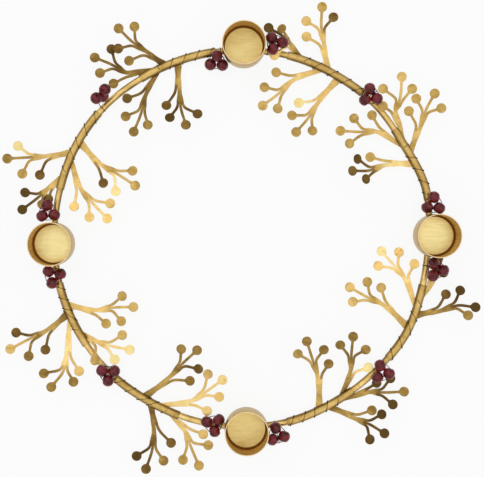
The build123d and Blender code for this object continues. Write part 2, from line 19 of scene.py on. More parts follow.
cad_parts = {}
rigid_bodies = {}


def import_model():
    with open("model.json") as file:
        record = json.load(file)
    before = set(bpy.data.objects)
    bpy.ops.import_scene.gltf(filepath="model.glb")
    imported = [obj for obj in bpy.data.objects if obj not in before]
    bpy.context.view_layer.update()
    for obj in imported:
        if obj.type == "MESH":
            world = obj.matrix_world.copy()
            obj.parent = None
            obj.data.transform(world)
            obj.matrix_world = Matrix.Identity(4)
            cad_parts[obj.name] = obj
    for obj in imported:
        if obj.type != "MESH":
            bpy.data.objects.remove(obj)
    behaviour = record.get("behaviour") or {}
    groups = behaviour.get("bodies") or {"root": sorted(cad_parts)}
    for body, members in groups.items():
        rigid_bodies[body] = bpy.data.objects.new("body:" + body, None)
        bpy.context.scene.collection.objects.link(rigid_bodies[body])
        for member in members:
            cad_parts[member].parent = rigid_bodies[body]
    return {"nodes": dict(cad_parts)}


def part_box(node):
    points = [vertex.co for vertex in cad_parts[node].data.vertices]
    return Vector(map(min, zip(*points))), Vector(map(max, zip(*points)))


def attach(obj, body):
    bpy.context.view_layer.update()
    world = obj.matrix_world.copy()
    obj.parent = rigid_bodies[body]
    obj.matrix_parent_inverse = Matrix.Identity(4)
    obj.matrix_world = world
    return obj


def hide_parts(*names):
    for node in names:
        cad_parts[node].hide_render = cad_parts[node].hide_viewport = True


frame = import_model()

logging.basicConfig(level=logging.INFO, format="%(message)s")
log = logging.getLogger("candle_ring")

MM = 0.001
UP = Vector((0.0, 0.0, 1.0))
SIXTHS = tuple(step / 6 for step in range(7))
CUP_NAMES = ("right", "top", "left", "bottom")

# The attribute that a brass piece carries: its tone, which paints its light and shade, or on a cup the
# place along its profile.
TONE_LAYER = "tone"

# How close two places are that count as one, and how many digits of a height are compared.
NEAR = 0.01 * MM
DIGITS = 6

# Half of what one side of an octagon takes up, in degrees.
HALF_SIDE = 22.5

# How far from its middle line the painted highlight on a rod's top reaches, and where the painted shade on
# its side begins, as shares of its radius.
HIGHLIGHT_SHARE = 0.4
SIDE_SHADE_SHARE = 0.95


class Tone(Enum):
    """How light or dark the brass is painted, from pale to dark, as a share of the finish's range: painted
    light and shade, for how each piece faces the light.
    """

    PALE = 0.0
    BRIGHT = 0.17
    WARM = 0.33
    GOLD = 0.5
    HONEY = 0.67
    BROWN = 0.83
    DARK = 1.0


class CupPlace(Enum):
    """How far along a cup's profile a place is, from its floor's middle up its wall and out."""

    FLOOR = 0.0
    FLOOR_EDGE = 0.15
    SHADE = 0.2
    CORNER = 0.3
    FOOT = 0.5
    WALL = 0.7
    LIP = 0.8
    ROUND = 0.88
    OUTSIDE = 0.95


# The colours of sheet and rod by their tone, and of a cup by the place along its profile, from 0 to 255 as
# they look on screen. The brass tones paint light and shade, from a pale painted highlight to dark painted
# shade.
BRASS_SHADES = {
    Tone.PALE: (250, 228, 158),
    Tone.BRIGHT: (243, 203, 124),
    Tone.WARM: (224, 189, 116),
    Tone.GOLD: (196, 161, 88),
    Tone.HONEY: (156, 125, 64),
    Tone.BROWN: (120, 91, 42),
    Tone.DARK: (98, 74, 33),
}
# A cup's colours paint its light and shade: the floor goes to painted shade towards the wall, the corner is
# the darkest painted shade, and the lip has a painted highlight.
CUP_SHADES = {
    CupPlace.FLOOR: (255, 235, 167),
    CupPlace.SHADE: (216, 181, 104),
    CupPlace.CORNER: (114, 68, 12),
    CupPlace.FOOT: (196, 138, 46),
    CupPlace.WALL: (204, 174, 96),
    CupPlace.LIP: (252, 222, 180),
    CupPlace.ROUND: (186, 156, 90),
}


def tones(words: str) -> list[float]:
    """Read a list of tones.

    Args:
        words: The names of the tones, with spaces between them.

    Returns:
        Their values, in the same order.
    """
    return [Tone[word.upper()].value for word in words.split()]


# Each sprig's stem, from butt to tip, then its twigs. A twig is its root, crotch, fork, the disc of its
# first shoot and the three discs of its fork, on the plan, then the lifts of its trunk, neck, shoot and
# three limbs above the level, and the tones of its trunk and its four discs, which paint how light or dark
# each looks as it tilts to the light.
SPRIG_SHARES = {
    "upper_left": (98.0, 122.5, [
        ((-338, 915), (-338, 805), (-327, 718), (-400, 700), (-382, 636),
         (-297, 598), (-235, 656), (10, 16, 20, 22, 14, 12), "honey brown dark brown brown"),
        ((-430, 948), (-487, 966), (-553, 1018), (-598, 938), (-656, 1003),
         (-654, 1110), (-570, 1120), (14, 16, 4, 12, 16, 10), "brown honey brown honey honey"),
        ((-450, 862), (-503, 785), (-525, 695), (-608, 738), (-616, 643),
         (-573, 562), (-499, 598), (12, 14, 8, 12, 8, 12), "brown brown honey honey honey"),
        ((-485, 887), (-590, 868), (-655, 898), (-680, 817), (-752, 873),
         (-780, 955), (-692, 1000), (3, 12, -3, 4, 8, 2), "brown honey honey honey brown"),
    ]),
    "left_upper": (138.8, 165.0, [
        ((-845, 495), (-768, 402), (-690, 356), (-733, 290), (-668, 247),
         (-565, 277), (-578, 355), (12, 10, 18, 4, 8, 14), "gold brown pale gold gold"),
        ((-915, 450), (-1010, 430), (-1100, 428), (-1070, 333), (-1163, 340),
         (-1243, 420), (-1187, 487), (8, 10, 16, 8, 12, 20), "gold brown gold honey pale"),
        ((-890, 390), (-870, 285), (-815, 213), (-888, 167), (-807, 110),
         (-713, 103), (-697, 183), (8, 6, 8, 10, 8, 4), "gold bright bright bright warm"),
        ((-985, 320), (-1008, 270), (-1055, 235), (-1024, 207), (-1058, 178),
         (-1163, 150), (-1149, 240), (0, 6, -12, -16, 22, 24), "gold honey honey dark dark"),
    ]),
    "left_lower": (193.9, 214.5, [
        ((-925, -362), (-800, -385), (-710, -373), (-718, -453), (-638, -440),
         (-574, -365), (-633, -307), (10, 8, 12, 12, 6, 16), "warm gold gold warm gold"),
        ((-945, -415), (-1008, -478), (-1095, -520), (-1041, -592), (-1130, -626),
         (-1227, -588), (-1198, -502), (12, 14, 22, 12, 8, 26), "honey brown honey warm brown"),
        ((-925, -450), (-920, -595), (-937, -672), (-862, -705), (-892, -762),
         (-1010, -790), (-1050, -718), (8, 14, 6, 14, 16, 14), "bright warm honey honey honey"),
        ((-838, -512), (-785, -545), (-730, -560), (-778, -648), (-673, -642),
         (-594, -590), (-632, -513), (26, 6, 10, 4, 6, 12), "warm gold pale pale warm"),
    ]),
    "lower_left": (227.9, 250.5, [
        ((-507, -835), (-400, -758), (-332, -683), (-275, -755), (-230, -692),
         (-237, -593), (-321, -587), (10, 14, 10, 18, 14, 12), "honey honey brown honey honey"),
        ((-480, -890), (-463, -980), (-470, -1085), (-375, -1085), (-415, -1178),
         (-508, -1223), (-558, -1155), (12, 8, 20, 10, 22, 24), "brown brown honey brown dark"),
        ((-415, -888), (-285, -872), (-218, -832), (-185, -915), (-120, -840),
         (-103, -750), (-180, -720), (8, 6, 2, 4, 6, 10), "bright bright bright bright warm"),
        ((-370, -950), (-312, -997), (-285, -1065), (-205, -1038), (-178, -1097),
         (-228, -1205), (-312, -1175), (2, 12, -4, 12, 10, 8), "warm warm gold gold gold"),
    ]),
    "lower_right": (283.8, 306.0, [
        ((412, -895), (408, -750), (383, -672), (458, -665), (433, -590),
         (343, -546), (295, -612), (8, 12, 12, 14, 10, 16), "gold honey honey honey gold"),
        ((475, -900), (575, -938), (648, -975), (688, -912), (742, -935),
         (757, -1037), (680, -1070), (10, 22, 20, 24, 26, 24), "honey honey dark dark dark"),
        ((530, -815), (573, -728), (578, -645), (668, -685), (655, -590),
         (588, -521), (520, -565), (12, 16, 2, 12, 12, 16), "honey pale honey honey honey"),
        ((545, -840), (655, -812), (715, -815), (712, -767), (785, -742),
         (857, -812), (798, -880), (0, -6, -10, -6, 6, 22), "honey dark dark honey dark"),
    ]),
    "right_lower": (320.5, 345.5, [
        ((868, -462), (768, -362), (690, -325), (735, -262), (662, -232),
         (570, -260), (585, -337), (10, 10, 14, 12, 6, 12), "gold gold gold warm warm"),
        ((925, -405), (1012, -388), (1110, -365), (1080, -297), (1158, -277),
         (1240, -367), (1200, -410), (16, 22, 24, 26, 24, 14), "honey brown dark dark honey"),
        ((905, -340), (873, -225), (828, -172), (912, -137), (830, -75),
         (738, -70), (720, -147), (6, 4, 4, 6, 4, 6), "warm bright bright pale bright"),
        ((955, -300), (1003, -228), (1028, -190), (1024, -140), (1034, -98),
         (1068, -74), (1066, -183), (0, -2, -4, -4, -2, 12), "gold dark dark dark dark"),
    ]),
    "right_upper": (11.5, 35.5, [
        ((903, 398), (785, 395), (705, 367), (678, 428), (610, 418),
         (583, 355), (655, 312), (6, 26, 6, 30, 28, 30), "bright gold brown brown brown"),
        ((922, 480), (927, 560), (963, 648), (883, 672), (922, 738),
         (1020, 765), (1056, 688), (14, 12, 10, 10, 12, 16), "gold gold gold gold gold"),
        ((848, 503), (742, 557), (660, 562), (687, 650), (592, 633),
         (520, 567), (568, 500), (8, 10, 14, 12, 10, 14), "gold gold gold gold gold"),
        ((880, 550), (808, 655), (823, 703), (745, 698), (745, 790),
         (845, 853), (900, 790), (10, 2, 0, 14, 6, 12), "gold gold gold warm gold"),
    ]),
    "upper_right": (50.3, 76.0, [
        ((500, 830), (412, 738), (368, 662), (300, 715), (264, 648),
         (286, 560), (372, 567), (8, 14, 2, 14, 12, 16), "warm pale gold gold gold"),
        ((455, 915), (433, 995), (424, 1085), (341, 1065), (340, 1148),
         (424, 1223), (484, 1170), (8, 10, 8, 8, 14, 24), "warm warm warm gold brown"),
        ((405, 885), (295, 853), (218, 787), (180, 876), (118, 797),
         (109, 700), (188, 684), (8, 8, 14, 12, 8, 14), "warm gold gold warm gold"),
        ((300, 975), (262, 1010), (232, 1050), (172, 968), (160, 1042),
         (140, 1110), (208, 1105), (22, -15, -2, -12, 4, 42), "honey bright dark dark gold"),
    ]),
}

# Each berry cluster's middle on the plan, then the turn of its triangle, its tilt, the direction
# in which the tilt goes down, how far along the ring from it its wire is tied, and how far it stands
# above the ring where it lies over a twig. Both of these are shares of a berry.
BERRY_CLUSTER_SHARES = {
    "right_above": ((1013, 177), 86, 0, 0, -0.42, 0),
    "upper_right": ((680, 753), 96, 0, 0, 0, 0),
    "top_right": ((178, 1031), 6, 15, 90, 0.55, 0.35),
    "top_left": ((-130, 935), 87, 40, 270, -0.48, 0),
    "upper_left": ((-743, 757), 75, 80, 315, 0.75, 0),
    "left_above": ((-1027, 138), 95, 0, 0, 0.05, 0),
    "left_below": ((-997, -200), 17, 0, 0, -0.25, 0),
    "lower_left": ((-708, -719), 28, 15, 270, -0.1, 0),
    "bottom_left": ((-151, -986), 40, 0, 0, 0.2, 0),
    "bottom_right": ((181, -1039), -15, 0, 0, -0.05, 0),
    "lower_right": ((742, -710), -12, 0, 0, -0.05, 0),
    "right_below": ((1028, -168), -3, 10, 0, 0.2, 0.3),
}


def flat(point: Vector) -> Vector:
    """Drop a point onto the plan."""
    return Vector((point.x, point.y, 0.0))


def heading_between(start: Vector, end: Vector) -> Vector:
    """Give the level direction from one point to another."""
    return flat(end - start).normalized()


def across(heading: Vector) -> Vector:
    """Give the level direction to the left of a heading."""
    return Vector((-heading.y, heading.x, 0.0))


def middle(first: Vector, second: Vector) -> Vector:
    """Give the point halfway between two others."""
    return (first + second) * 0.5


def polar_angle(point: Vector) -> float:
    """Give a place's direction from the ring's middle, from 0 to 360 degrees."""
    return math.degrees(math.atan2(point.y, point.x)) % 360


def slope(lift: float) -> float:
    """Give how far sheet climbs for each metre that it goes, from its lift in degrees."""
    return math.tan(math.radians(lift))


def climbing(heading: Vector, lift: float) -> Vector:
    """Tip a level direction up by a lift in degrees."""
    return (heading + UP * slope(lift)).normalized()


def octagon_reach(apothem: float) -> float:
    """Give how far an octagon's corners are from its middle, from how far its sides are."""
    return apothem / math.cos(math.radians(HALF_SIDE))


def octagon_corner(apothem: float, step: int) -> tuple[float, float]:
    """Find a corner of an octagon round the rod.

    Args:
        apothem: The distance from the rod's middle to the octagon's sides.
        step: The corner, counted from the one just below the rod's outer side.

    Returns:
        How far out and how far up the corner is from the rod's middle.
    """
    angle = math.radians(HALF_SIDE * (2 * step - 1))
    radius = octagon_reach(apothem)
    return (radius * math.cos(angle), radius * math.sin(angle))


@dataclass(frozen=True)
class Spot:
    """A place on the rod's middle line: its point, the level way out, and the way along."""

    origin: Vector
    outward: Vector
    along: Vector

    def at(self, out: float, up: float) -> Vector:
        """Give the point that is so far out from and so far above the rod's middle."""
        return self.origin + self.outward * out + UP * up


@dataclass
class RingPath:
    """The middle line of the hand-bent rod."""

    radius: float = 101.0 * MM
    height: float = 2.2 * MM
    sight_height: float = 640.0 * MM
    sight_shares: tuple[float, float] = (-106, 85)
    bend_step: float = 15.0
    tangent_span: float = 1.0
    chord_share: float = 0.9993
    bend_shares: tuple[float, ...] = (
        0.988, 1.008, 0.989, 0.998, 0.995, 0.997, 0.995, 0.996,
        0.998, 1.006, 1.006, 0.998, 0.995, 0.997, 0.998, 1.000,
        0.995, 0.998, 1.000, 1.003, 0.997, 0.998, 1.005, 0.989,
    )

    def bend(self, angle: float) -> float:
        """Read the rod's distance from the middle, as a share of the ring's radius.

        Args:
            angle: The direction from the middle, in degrees.

        Returns:
            The share, with a smooth run between the places where it is given.
        """
        position = angle / self.bend_step
        first = math.floor(position)
        rest = position - first
        count = len(self.bend_shares)
        shares = [self.bend_shares[(first + step) % count] for step in (-1, 0, 1, 2)]
        before, here, after, beyond = shares
        slope_here = (after - before) / 2
        slope_after = (beyond - here) / 2
        blend = rest * rest * (3 - 2 * rest)
        curl = rest * (1 - rest) * (slope_here * (1 - rest) - slope_after * rest)
        return (here + (after - here) * blend + curl) * self.chord_share

    def point(self, angle: float) -> Vector:
        """Give the point of the middle line in a direction."""
        reach = self.radius * self.bend(angle)
        turn = math.radians(angle)
        return Vector((reach * math.cos(turn), reach * math.sin(turn), self.height))

    def spot(self, angle: float) -> Spot:
        """Give the place on the middle line in a direction, with its own directions."""
        half = self.tangent_span / 2
        along = (self.point(angle + half) - self.point(angle - half)).normalized()
        return Spot(self.point(angle), along.cross(UP), along)

    def turn(self, length: float) -> float:
        """Give the angle that a length along the ring takes up, in degrees."""
        return math.degrees(length / self.radius)

    def place(self, shares: tuple[float, float]) -> Vector:
        """Give a place on the plan from its shares in thousandths of the ring's radius."""
        right, up = shares
        return Vector((right * self.radius / 1000, up * self.radius / 1000, 0.0))

    def in_sight(self, point: Vector, height: float) -> Vector:
        """Bring a place on the plan in from where it looks to be.

        Args:
            point: Where it looks to be.
            height: Its height above the table.

        Returns:
            The place, at its height.
        """
        share = (height - self.height) / self.sight_height
        return flat(point) + (self.place(self.sight_shares) - flat(point)) * share + UP * height

    def climbed(self, start: Vector, point: Vector, lift: float) -> Vector:
        """Give a place at the height to which sheet climbs.

        Args:
            start: Where the sheet starts.
            point: Where on the plan the place looks to be.
            lift: How steeply the sheet climbs, in degrees.

        Returns:
            The place.
        """
        return self.in_sight(point, start.z + flat(point - start).length * slope(lift))


PATH = RingPath()


def highlight_tone(point: Vector, radius: float, crown: float, side: float) -> float:
    """Give the tone of a place on the rod or on a stem: a painted highlight along its top, and painted
    shade on its sides and all round its lower half.

    Args:
        point: The place.
        radius: The rod's or the stem's radius there.
        crown: The tone on top.
        side: The tone at the sides.

    Returns:
        The tone.
    """
    spot = PATH.spot(polar_angle(point))
    off = abs((point - spot.origin).dot(spot.outward)) / radius
    share = (off - HIGHLIGHT_SHARE) / (SIDE_SHADE_SHARE - HIGHLIGHT_SHARE) if point.z > spot.origin.z else 1.0
    return crown + (side - crown) * min(1.0, max(0.0, share))


# What every sub-assembly uses to make its pieces


def leave_all() -> None:
    """Deselect every object."""
    bpy.ops.object.select_all(action="DESELECT")


def pick(*pieces: bpy.types.Object) -> bpy.types.Object:
    """Select some objects alone and make the first of them the active one."""
    leave_all()
    for piece in pieces:
        piece.select_set(True)
    bpy.context.view_layer.objects.active = pieces[0]
    return pieces[0]


def add_object(name: str, data: bpy.types.ID) -> bpy.types.Object:
    """Put an object with some data in the scene."""
    added = bpy.data.objects.new(name, data)
    bpy.context.collection.objects.link(added)
    return added


def finish_piece(piece: bpy.types.Object, node: str, material: bpy.types.Material) -> None:
    """Dress a piece and let it stand for its CAD node.

    Args:
        piece: The finished piece.
        node: The CAD node that it replaces.
        material: Its finish.
    """
    piece.name = f"{node}_dressed"
    piece.data.materials.clear()
    piece.data.materials.append(material)
    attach(piece, "root")
    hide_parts(node)
    log.info("%s: %d faces", piece.name, len(piece.data.polygons))


def smooth(piece: bpy.types.Object, angle: float) -> None:
    """Shade a piece smooth except where its faces meet at more than an angle in degrees."""
    pick(piece)
    bpy.ops.object.shade_smooth_by_angle(angle=math.radians(angle))


def wire(name: str, runs: list[tuple[list[Vector], bool]], radius: float,
         sides: int = 8) -> bpy.types.Object:
    """Make round wire or rod along smooth lines, with four steps from one control point to the next.

    Args:
        name: The piece's name.
        runs: Each line's control points, and whether it closes on itself.
        radius: The wire's radius.
        sides: How many sides its section has, an even number.

    Returns:
        The wire as a mesh object.
    """
    curve = bpy.data.curves.new(name, "CURVE")
    curve.dimensions = "3D"
    curve.twist_mode = "MINIMUM"
    curve.resolution_u = 4
    curve.bevel_depth = radius
    curve.bevel_resolution = (sides - 4) // 2
    curve.use_fill_caps = True
    for points, closed in runs:
        spline = curve.splines.new("NURBS")
        spline.points.add(len(points) - 1)
        for control, point in zip(spline.points, points):
            control.co = (*point, 1.0)
        spline.use_cyclic_u = closed
        spline.order_u = 3
        spline.use_endpoint_u = not closed
    pick(add_object(name, curve))
    bpy.ops.object.convert(target="MESH")
    bpy.ops.object.shade_smooth()
    return bpy.context.view_layer.objects.active


def edit_mesh() -> bmesh.types.BMesh:
    """Give the mesh that is open in edit mode, with its vertices numbered."""
    work = bmesh.from_edit_mesh(bpy.context.edit_object.data)
    work.verts.ensure_lookup_table()
    work.verts.index_update()
    return work


def write_tone(verts: list[bmesh.types.BMVert], work: bmesh.types.BMesh, tone: float) -> None:
    """Write a tone on some vertices of the mesh that is open in edit mode."""
    layer = work.verts.layers.float[TONE_LAYER]
    for vert in verts:
        vert[layer] = tone


def select_edges(work: bmesh.types.BMesh, row: list[bmesh.types.BMVert]) -> None:
    """Select only the edges that run along a row of vertices.

    Args:
        work: The mesh open in edit mode.
        row: The vertices in order.
    """
    for part in (*work.faces, *work.edges, *work.verts):
        part.select = False
    for start, end in zip(row, row[1:]):
        work.edges.get((start, end)).select_set(True)
    bmesh.update_edit_mesh(bpy.context.edit_object.data)


def draw_out(rows: list[list[Vector]], start: list[Vector], first_tone: float, last_tone: float) -> None:
    """Draw a strip of sheet out of the mesh in edit mode, one row at a time.

    Args:
        rows: The places of each new row's vertices, in the same order as the edge's.
        start: The places of the edge's own vertices.
        first_tone: The tone at the edge that the strip leaves.
        last_tone: The tone at the strip's last row.
    """
    work = edit_mesh()
    row = [min(work.verts, key=lambda vert: (vert.co - place).length_squared) for place in start]
    select_edges(work, row)
    for step, places in enumerate(rows, start=1):
        before = [vert.co.copy() for vert in row]
        bpy.ops.mesh.extrude_edges_move()
        work = edit_mesh()
        chosen = [vert for vert in work.verts if vert.select]
        row = [min(chosen, key=lambda vert: (vert.co - place).length_squared) for place in before]
        for vert, place in zip(row, places):
            vert.co = place
        write_tone(row, work, first_tone + (last_tone - first_tone) * step / len(rows))
        bmesh.update_edit_mesh(bpy.context.edit_object.data)


def hermite(start: Vector, leave: Vector, end: Vector, arrive: Vector, share: float) -> Vector:
    """Read a smooth curve between two points.

    Args:
        start: The first point.
        leave: How the curve leaves it.
        end: The second point.
        arrive: How the curve arrives there.
        share: How far along the curve, from 0 to 1.

    Returns:
        The point on the curve.
    """
    square, cube = share**2, share**3
    return (start * (2 * cube - 3 * square + 1) + leave * (cube - 2 * square + share)
            + end * (3 * square - 2 * cube) + arrive * (cube - square))


def rails(edges: list[list[Vector]], leave: Vector, arrive: Vector) -> list[list[Vector]]:
    """Run smooth lines through matching points of several edges.

    Args:
        edges: The edges that the sheet passes through, each with as many points.
        leave: The direction in which it leaves the first edge.
        arrive: The direction in which it comes to the last.

    Returns:
        The rows of points after the first edge.
    """
    rows = []
    for index in range(len(edges) - 1):
        for step in range(1, SHEET.rows + 1):
            row = []
            for column, (start, end) in enumerate(zip(edges[index], edges[index + 1])):
                span = (end - start).length
                slope_in = leave * span
                slope_out = arrive * span
                if index:
                    slope_in = (end - edges[index - 1][column]) / 2
                if index < len(edges) - 2:
                    slope_out = (edges[index + 2][column] - start) / 2
                row.append(hermite(start, slope_in, end, slope_out, step / SHEET.rows))
            rows.append(row)
    return rows


def spread(left: Vector, right: Vector, shares: tuple[float, ...]) -> list[Vector]:
    """Give the points at some shares of the way from one point to another."""
    return [left.lerp(right, share) for share in shares]


def raised(hinge: tuple[Vector, Vector], points: list[Vector], heading: Vector,
           lift: float) -> list[Vector]:
    """Lift points off the plan onto the flat of sheet that turns about a hinge.

    Args:
        hinge: The hinge's left and right ends.
        points: The points to lift.
        heading: The level direction in which the sheet climbs.
        lift: How steeply it climbs, in degrees.

    Returns:
        The points at their height on the sheet.
    """
    left, right = hinge
    width = heading_between(left, right)
    forward = across(width)
    slope_across = (right.z - left.z) / flat(right - left).length
    slope_along = (slope(lift) - slope_across * heading.dot(width)) / heading.dot(forward)
    lifted = []
    for point in points:
        offset = flat(point - left)
        height = left.z + offset.dot(width) * slope_across + offset.dot(forward) * slope_along
        lifted.append(Vector((point.x, point.y, height)))
    return lifted


# The shader groups that the finishes share


class Board:
    """A node tree that is being wired up."""

    def __init__(self, tree: bpy.types.NodeTree) -> None:
        """Keep the tree whose nodes are added."""
        self.tree = tree

    def fill(self, node: bpy.types.Node, values: dict) -> None:
        """Fill in a node's inputs.

        Args:
            node: The node.
            values: What goes into them, by name or number: a value, or the socket to link.
        """
        for key, value in values.items():
            if isinstance(value, bpy.types.NodeSocket):
                self.tree.links.new(value, node.inputs[key])
            else:
                node.inputs[key].default_value = value

    def add(self, kind: str, values: dict | None = None, **settings: object) -> bpy.types.Node:
        """Add a node.

        Args:
            kind: The node's type.
            values: What goes into its inputs.
            **settings: The node's own properties.

        Returns:
            The new node.
        """
        node = self.tree.nodes.new(kind)
        for name, setting in settings.items():
            setattr(node, name, setting)
        self.fill(node, values or {})
        return node

    def blend(self, share: bpy.types.NodeSocket, first: object, second: object) -> bpy.types.NodeSocket:
        """Mix two colours.

        Args:
            share: How much of the second colour there is.
            first: A colour, or the socket that gives it.
            second: A colour, or the socket that gives it.

        Returns:
            The socket with the mixed colour.
        """
        return self.add("ShaderNodeMix", {0: share, 6: first, 7: second}, data_type="RGBA").outputs[2]

    def spread(self, value: bpy.types.NodeSocket, low: float, high: float, start: float = 0.0,
               end: float = 1.0) -> bpy.types.NodeSocket:
        """Bring a value from one range to another.

        Args:
            value: The socket that gives the value.
            low: What the start of the range becomes.
            high: What its end becomes.
            start: The range's start.
            end: The range's end.

        Returns:
            The socket with the new value, kept between low and high.
        """
        return self.add("ShaderNodeMapRange", {0: value, 1: start, 2: end, 3: low, 4: high}).outputs[0]

    def maths(self, operation: str, first: object, second: object,
              clamp: bool = False) -> bpy.types.NodeSocket:
        """Join two values by an operation such as ADD, and give the socket with the result."""
        values = {0: first, 1: second}
        return self.add("ShaderNodeMath", values, operation=operation, use_clamp=clamp).outputs[0]

    def ramp(self, value: bpy.types.NodeSocket, shades: dict[Enum, tuple]) -> bpy.types.NodeSocket:
        """Turn a value into a colour.

        Args:
            value: The socket that gives the value.
            shades: The colours that it passes through, from the lowest value to the highest.

        Returns:
            The socket with the colour.
        """
        node = self.add("ShaderNodeValToRGB", {"Fac": value})
        stops = node.color_ramp.elements
        first, *between, last = shades
        stops[0].position = first.value
        stops[1].position = last.value
        for place in between:
            stops.new(place.value)
        for stop, shade in zip(stops, shades.values()):
            stop.color = srgb(*shade)
        return node.outputs[0]


def srgb(red: float, green: float, blue: float) -> tuple[float, float, float, float]:
    """Turn a colour as it looks on screen, from 0 to 255, into the one that a shader takes."""
    parts = [part / 255 for part in (red, green, blue)]
    light = [part / 12.92 if part <= 0.04045 else ((part + 0.055) / 1.055) ** 2.4 for part in parts]
    return (*light, 1.0)


def group(name: str, inputs: dict[str, float],
          outputs: tuple[str, ...]) -> tuple[Board, bpy.types.NodeOutputs]:
    """Start a shader group.

    Args:
        name: The group's name.
        inputs: Its inputs with their usual values.
        outputs: Its outputs, of which the one named Colour is a colour.

    Returns:
        The board to wire it on, and the sockets that give its inputs.
    """
    tree = bpy.data.node_groups.new(name, "ShaderNodeTree")
    for key, value in inputs.items():
        socket = tree.interface.new_socket(key, in_out="INPUT", socket_type="NodeSocketFloat")
        socket.default_value = value
    for key in outputs:
        kind = "NodeSocketColor" if key == "Colour" else "NodeSocketFloat"
        tree.interface.new_socket(key, in_out="OUTPUT", socket_type=kind)
    board = Board(tree)
    return board, board.add("NodeGroupInput").outputs


class SharedNodes:
    """The shader groups, each built once."""

    def __init__(self) -> None:
        """Build the groups."""
        self.grain = self.make_grain()
        self.shading_and_tarnish = self.make_shading_and_tarnish()
        self.edge_wear_and_shade = self.make_edge_wear_and_shade()

    def make_grain(self) -> bpy.types.NodeTree:
        """Build the grain of worked metal: fine pits, long rubs, and clouds of handling.

        Returns:
            The group, with outputs for each of them and for the height of the surface.
        """
        scales = {"Fine scale": 900.0, "Rub scale": 160.0, "Cloud scale": 70.0}
        board, given = group("worked_grain", scales, ("Fine", "Rubs", "Clouds", "Height"))
        place = board.add("ShaderNodeTexCoord").outputs["Object"]
        turned = board.add("ShaderNodeMapping", {"Vector": place, "Rotation": (0.0, 0.0, 0.6),
                                                 "Scale": (1.0, 7.0, 3.0)}).outputs[0]
        noises = {
            "Fine": {"Vector": place, "Scale": given["Fine scale"], "Detail": 5.0, "Roughness": 0.65},
            "Rubs": {"Vector": turned, "Scale": given["Rub scale"], "Detail": 4.0, "Roughness": 0.55},
            "Clouds": {"Vector": place, "Scale": given["Cloud scale"], "Detail": 3.0, "Roughness": 0.5,
                       "Distortion": 0.6},
        }
        made = {key: board.add("ShaderNodeTexNoise", values).outputs[0] for key, values in noises.items()}
        fine_share, cloud_share = 0.4, 0.6
        pits = board.maths("MULTIPLY", made["Fine"], fine_share)
        dents = board.maths("MULTIPLY", made["Clouds"], cloud_share)
        made["Height"] = board.maths("ADD", pits, dents)
        board.add("NodeGroupOutput", made)
        return board.tree

    def make_shading_and_tarnish(self) -> bpy.types.NodeTree:
        """Build the colour of brass from its tone, which paints light and shade from pale to dark, with
        tarnished marks that come and go at random.

        Returns:
            The group, with outputs for the colour and for how brown the surface is.
        """
        values = {"Tone": 0.5, "Clouds": 0.5, "Fine": 0.5, "Unevenness": 0.3}
        board, given = group("brass_shading_and_tarnish", values, ("Colour", "Brown"))
        clouds = board.maths("SUBTRACT", given["Clouds"], 0.5)
        fine = board.maths("SUBTRACT", given["Fine"], 0.5)
        marks = board.maths("ADD", clouds, board.maths("MULTIPLY", fine, 0.5))
        marks = board.maths("MULTIPLY", marks, given["Unevenness"])
        brown = board.maths("ADD", given["Tone"], marks, clamp=True)
        board.add("NodeGroupOutput", {"Colour": board.ramp(brown, BRASS_SHADES), "Brown": brown})
        return board.tree

    def make_edge_wear_and_shade(self) -> bpy.types.NodeTree:
        """Build the mark along edges, where the surface turns outwards, broken up by the grain: a bright
        worn edge on the rod, and on the sprigs' sheet dark painted shade along its rims.

        Returns:
            The group, with an output for how strongly an edge is marked.
        """
        board, given = group("edge_wear_and_rim_shade", {"Fine": 0.5, "Strength": 0.6}, ("Wear_and_shade",))
        turning = board.add("ShaderNodeNewGeometry").outputs["Pointiness"]
        edge = board.spread(turning, 0.0, 1.0, start=0.51, end=0.58)
        broken = board.spread(given["Fine"], 0.3, 1.0, start=0.35, end=0.6)
        edge_wear_and_shade = board.maths("MULTIPLY", board.maths("MULTIPLY", edge, broken), given["Strength"])
        board.add("NodeGroupOutput", {"Wear_and_shade": edge_wear_and_shade})
        return board.tree


class Surface(Board):
    """A material that is being wired up, with its shader and the grain of its surface ready."""

    def __init__(self, name: str, shared: SharedNodes, cloud_scale: float = 70.0) -> None:
        """Start the material.

        Args:
            name: Its name.
            shared: The shader groups.
            cloud_scale: The scale of the clouds in its grain.
        """
        self.material = bpy.data.materials.new(name)
        self.material.use_nodes = True
        super().__init__(self.material.node_tree)
        self.grain = self.grouped(shared.grain, {"Cloud scale": cloud_scale})

    def grouped(self, tree: bpy.types.NodeTree, values: dict) -> bpy.types.NodeOutputs:
        """Add one of the shared groups.

        Args:
            tree: The group.
            values: What goes into its inputs.

        Returns:
            Its outputs.
        """
        return self.add("ShaderNodeGroup", values, node_tree=tree).outputs

    def written(self) -> bpy.types.NodeSocket:
        """Give the socket with what is written on the piece: its tone, or the place on a profile."""
        return self.add("ShaderNodeAttribute", attribute_name=TONE_LAYER).outputs["Fac"]

    def polished(self, polish: tuple[float, float], grain: str = "Rubs") -> bpy.types.NodeSocket:
        """Give the socket with a roughness that goes from one value to another as a grain does."""
        return self.spread(self.grain[grain], *polish, start=0.3, end=0.7)

    def finish(self, values: dict, bump: float, relief: float = 0.05 * MM) -> bpy.types.Material:
        """Fill in the shader and give it the relief of the grain.

        Args:
            values: What goes into the shader's inputs.
            bump: How strongly the relief shows.
            relief: How deep it is.

        Returns:
            The material.
        """
        height = self.grain["Height"]
        bumped = self.add("ShaderNodeBump", {"Strength": bump, "Distance": relief, "Height": height})
        self.fill(self.tree.nodes["Principled BSDF"], {**values, "Normal": bumped.outputs[0]})
        return self.material


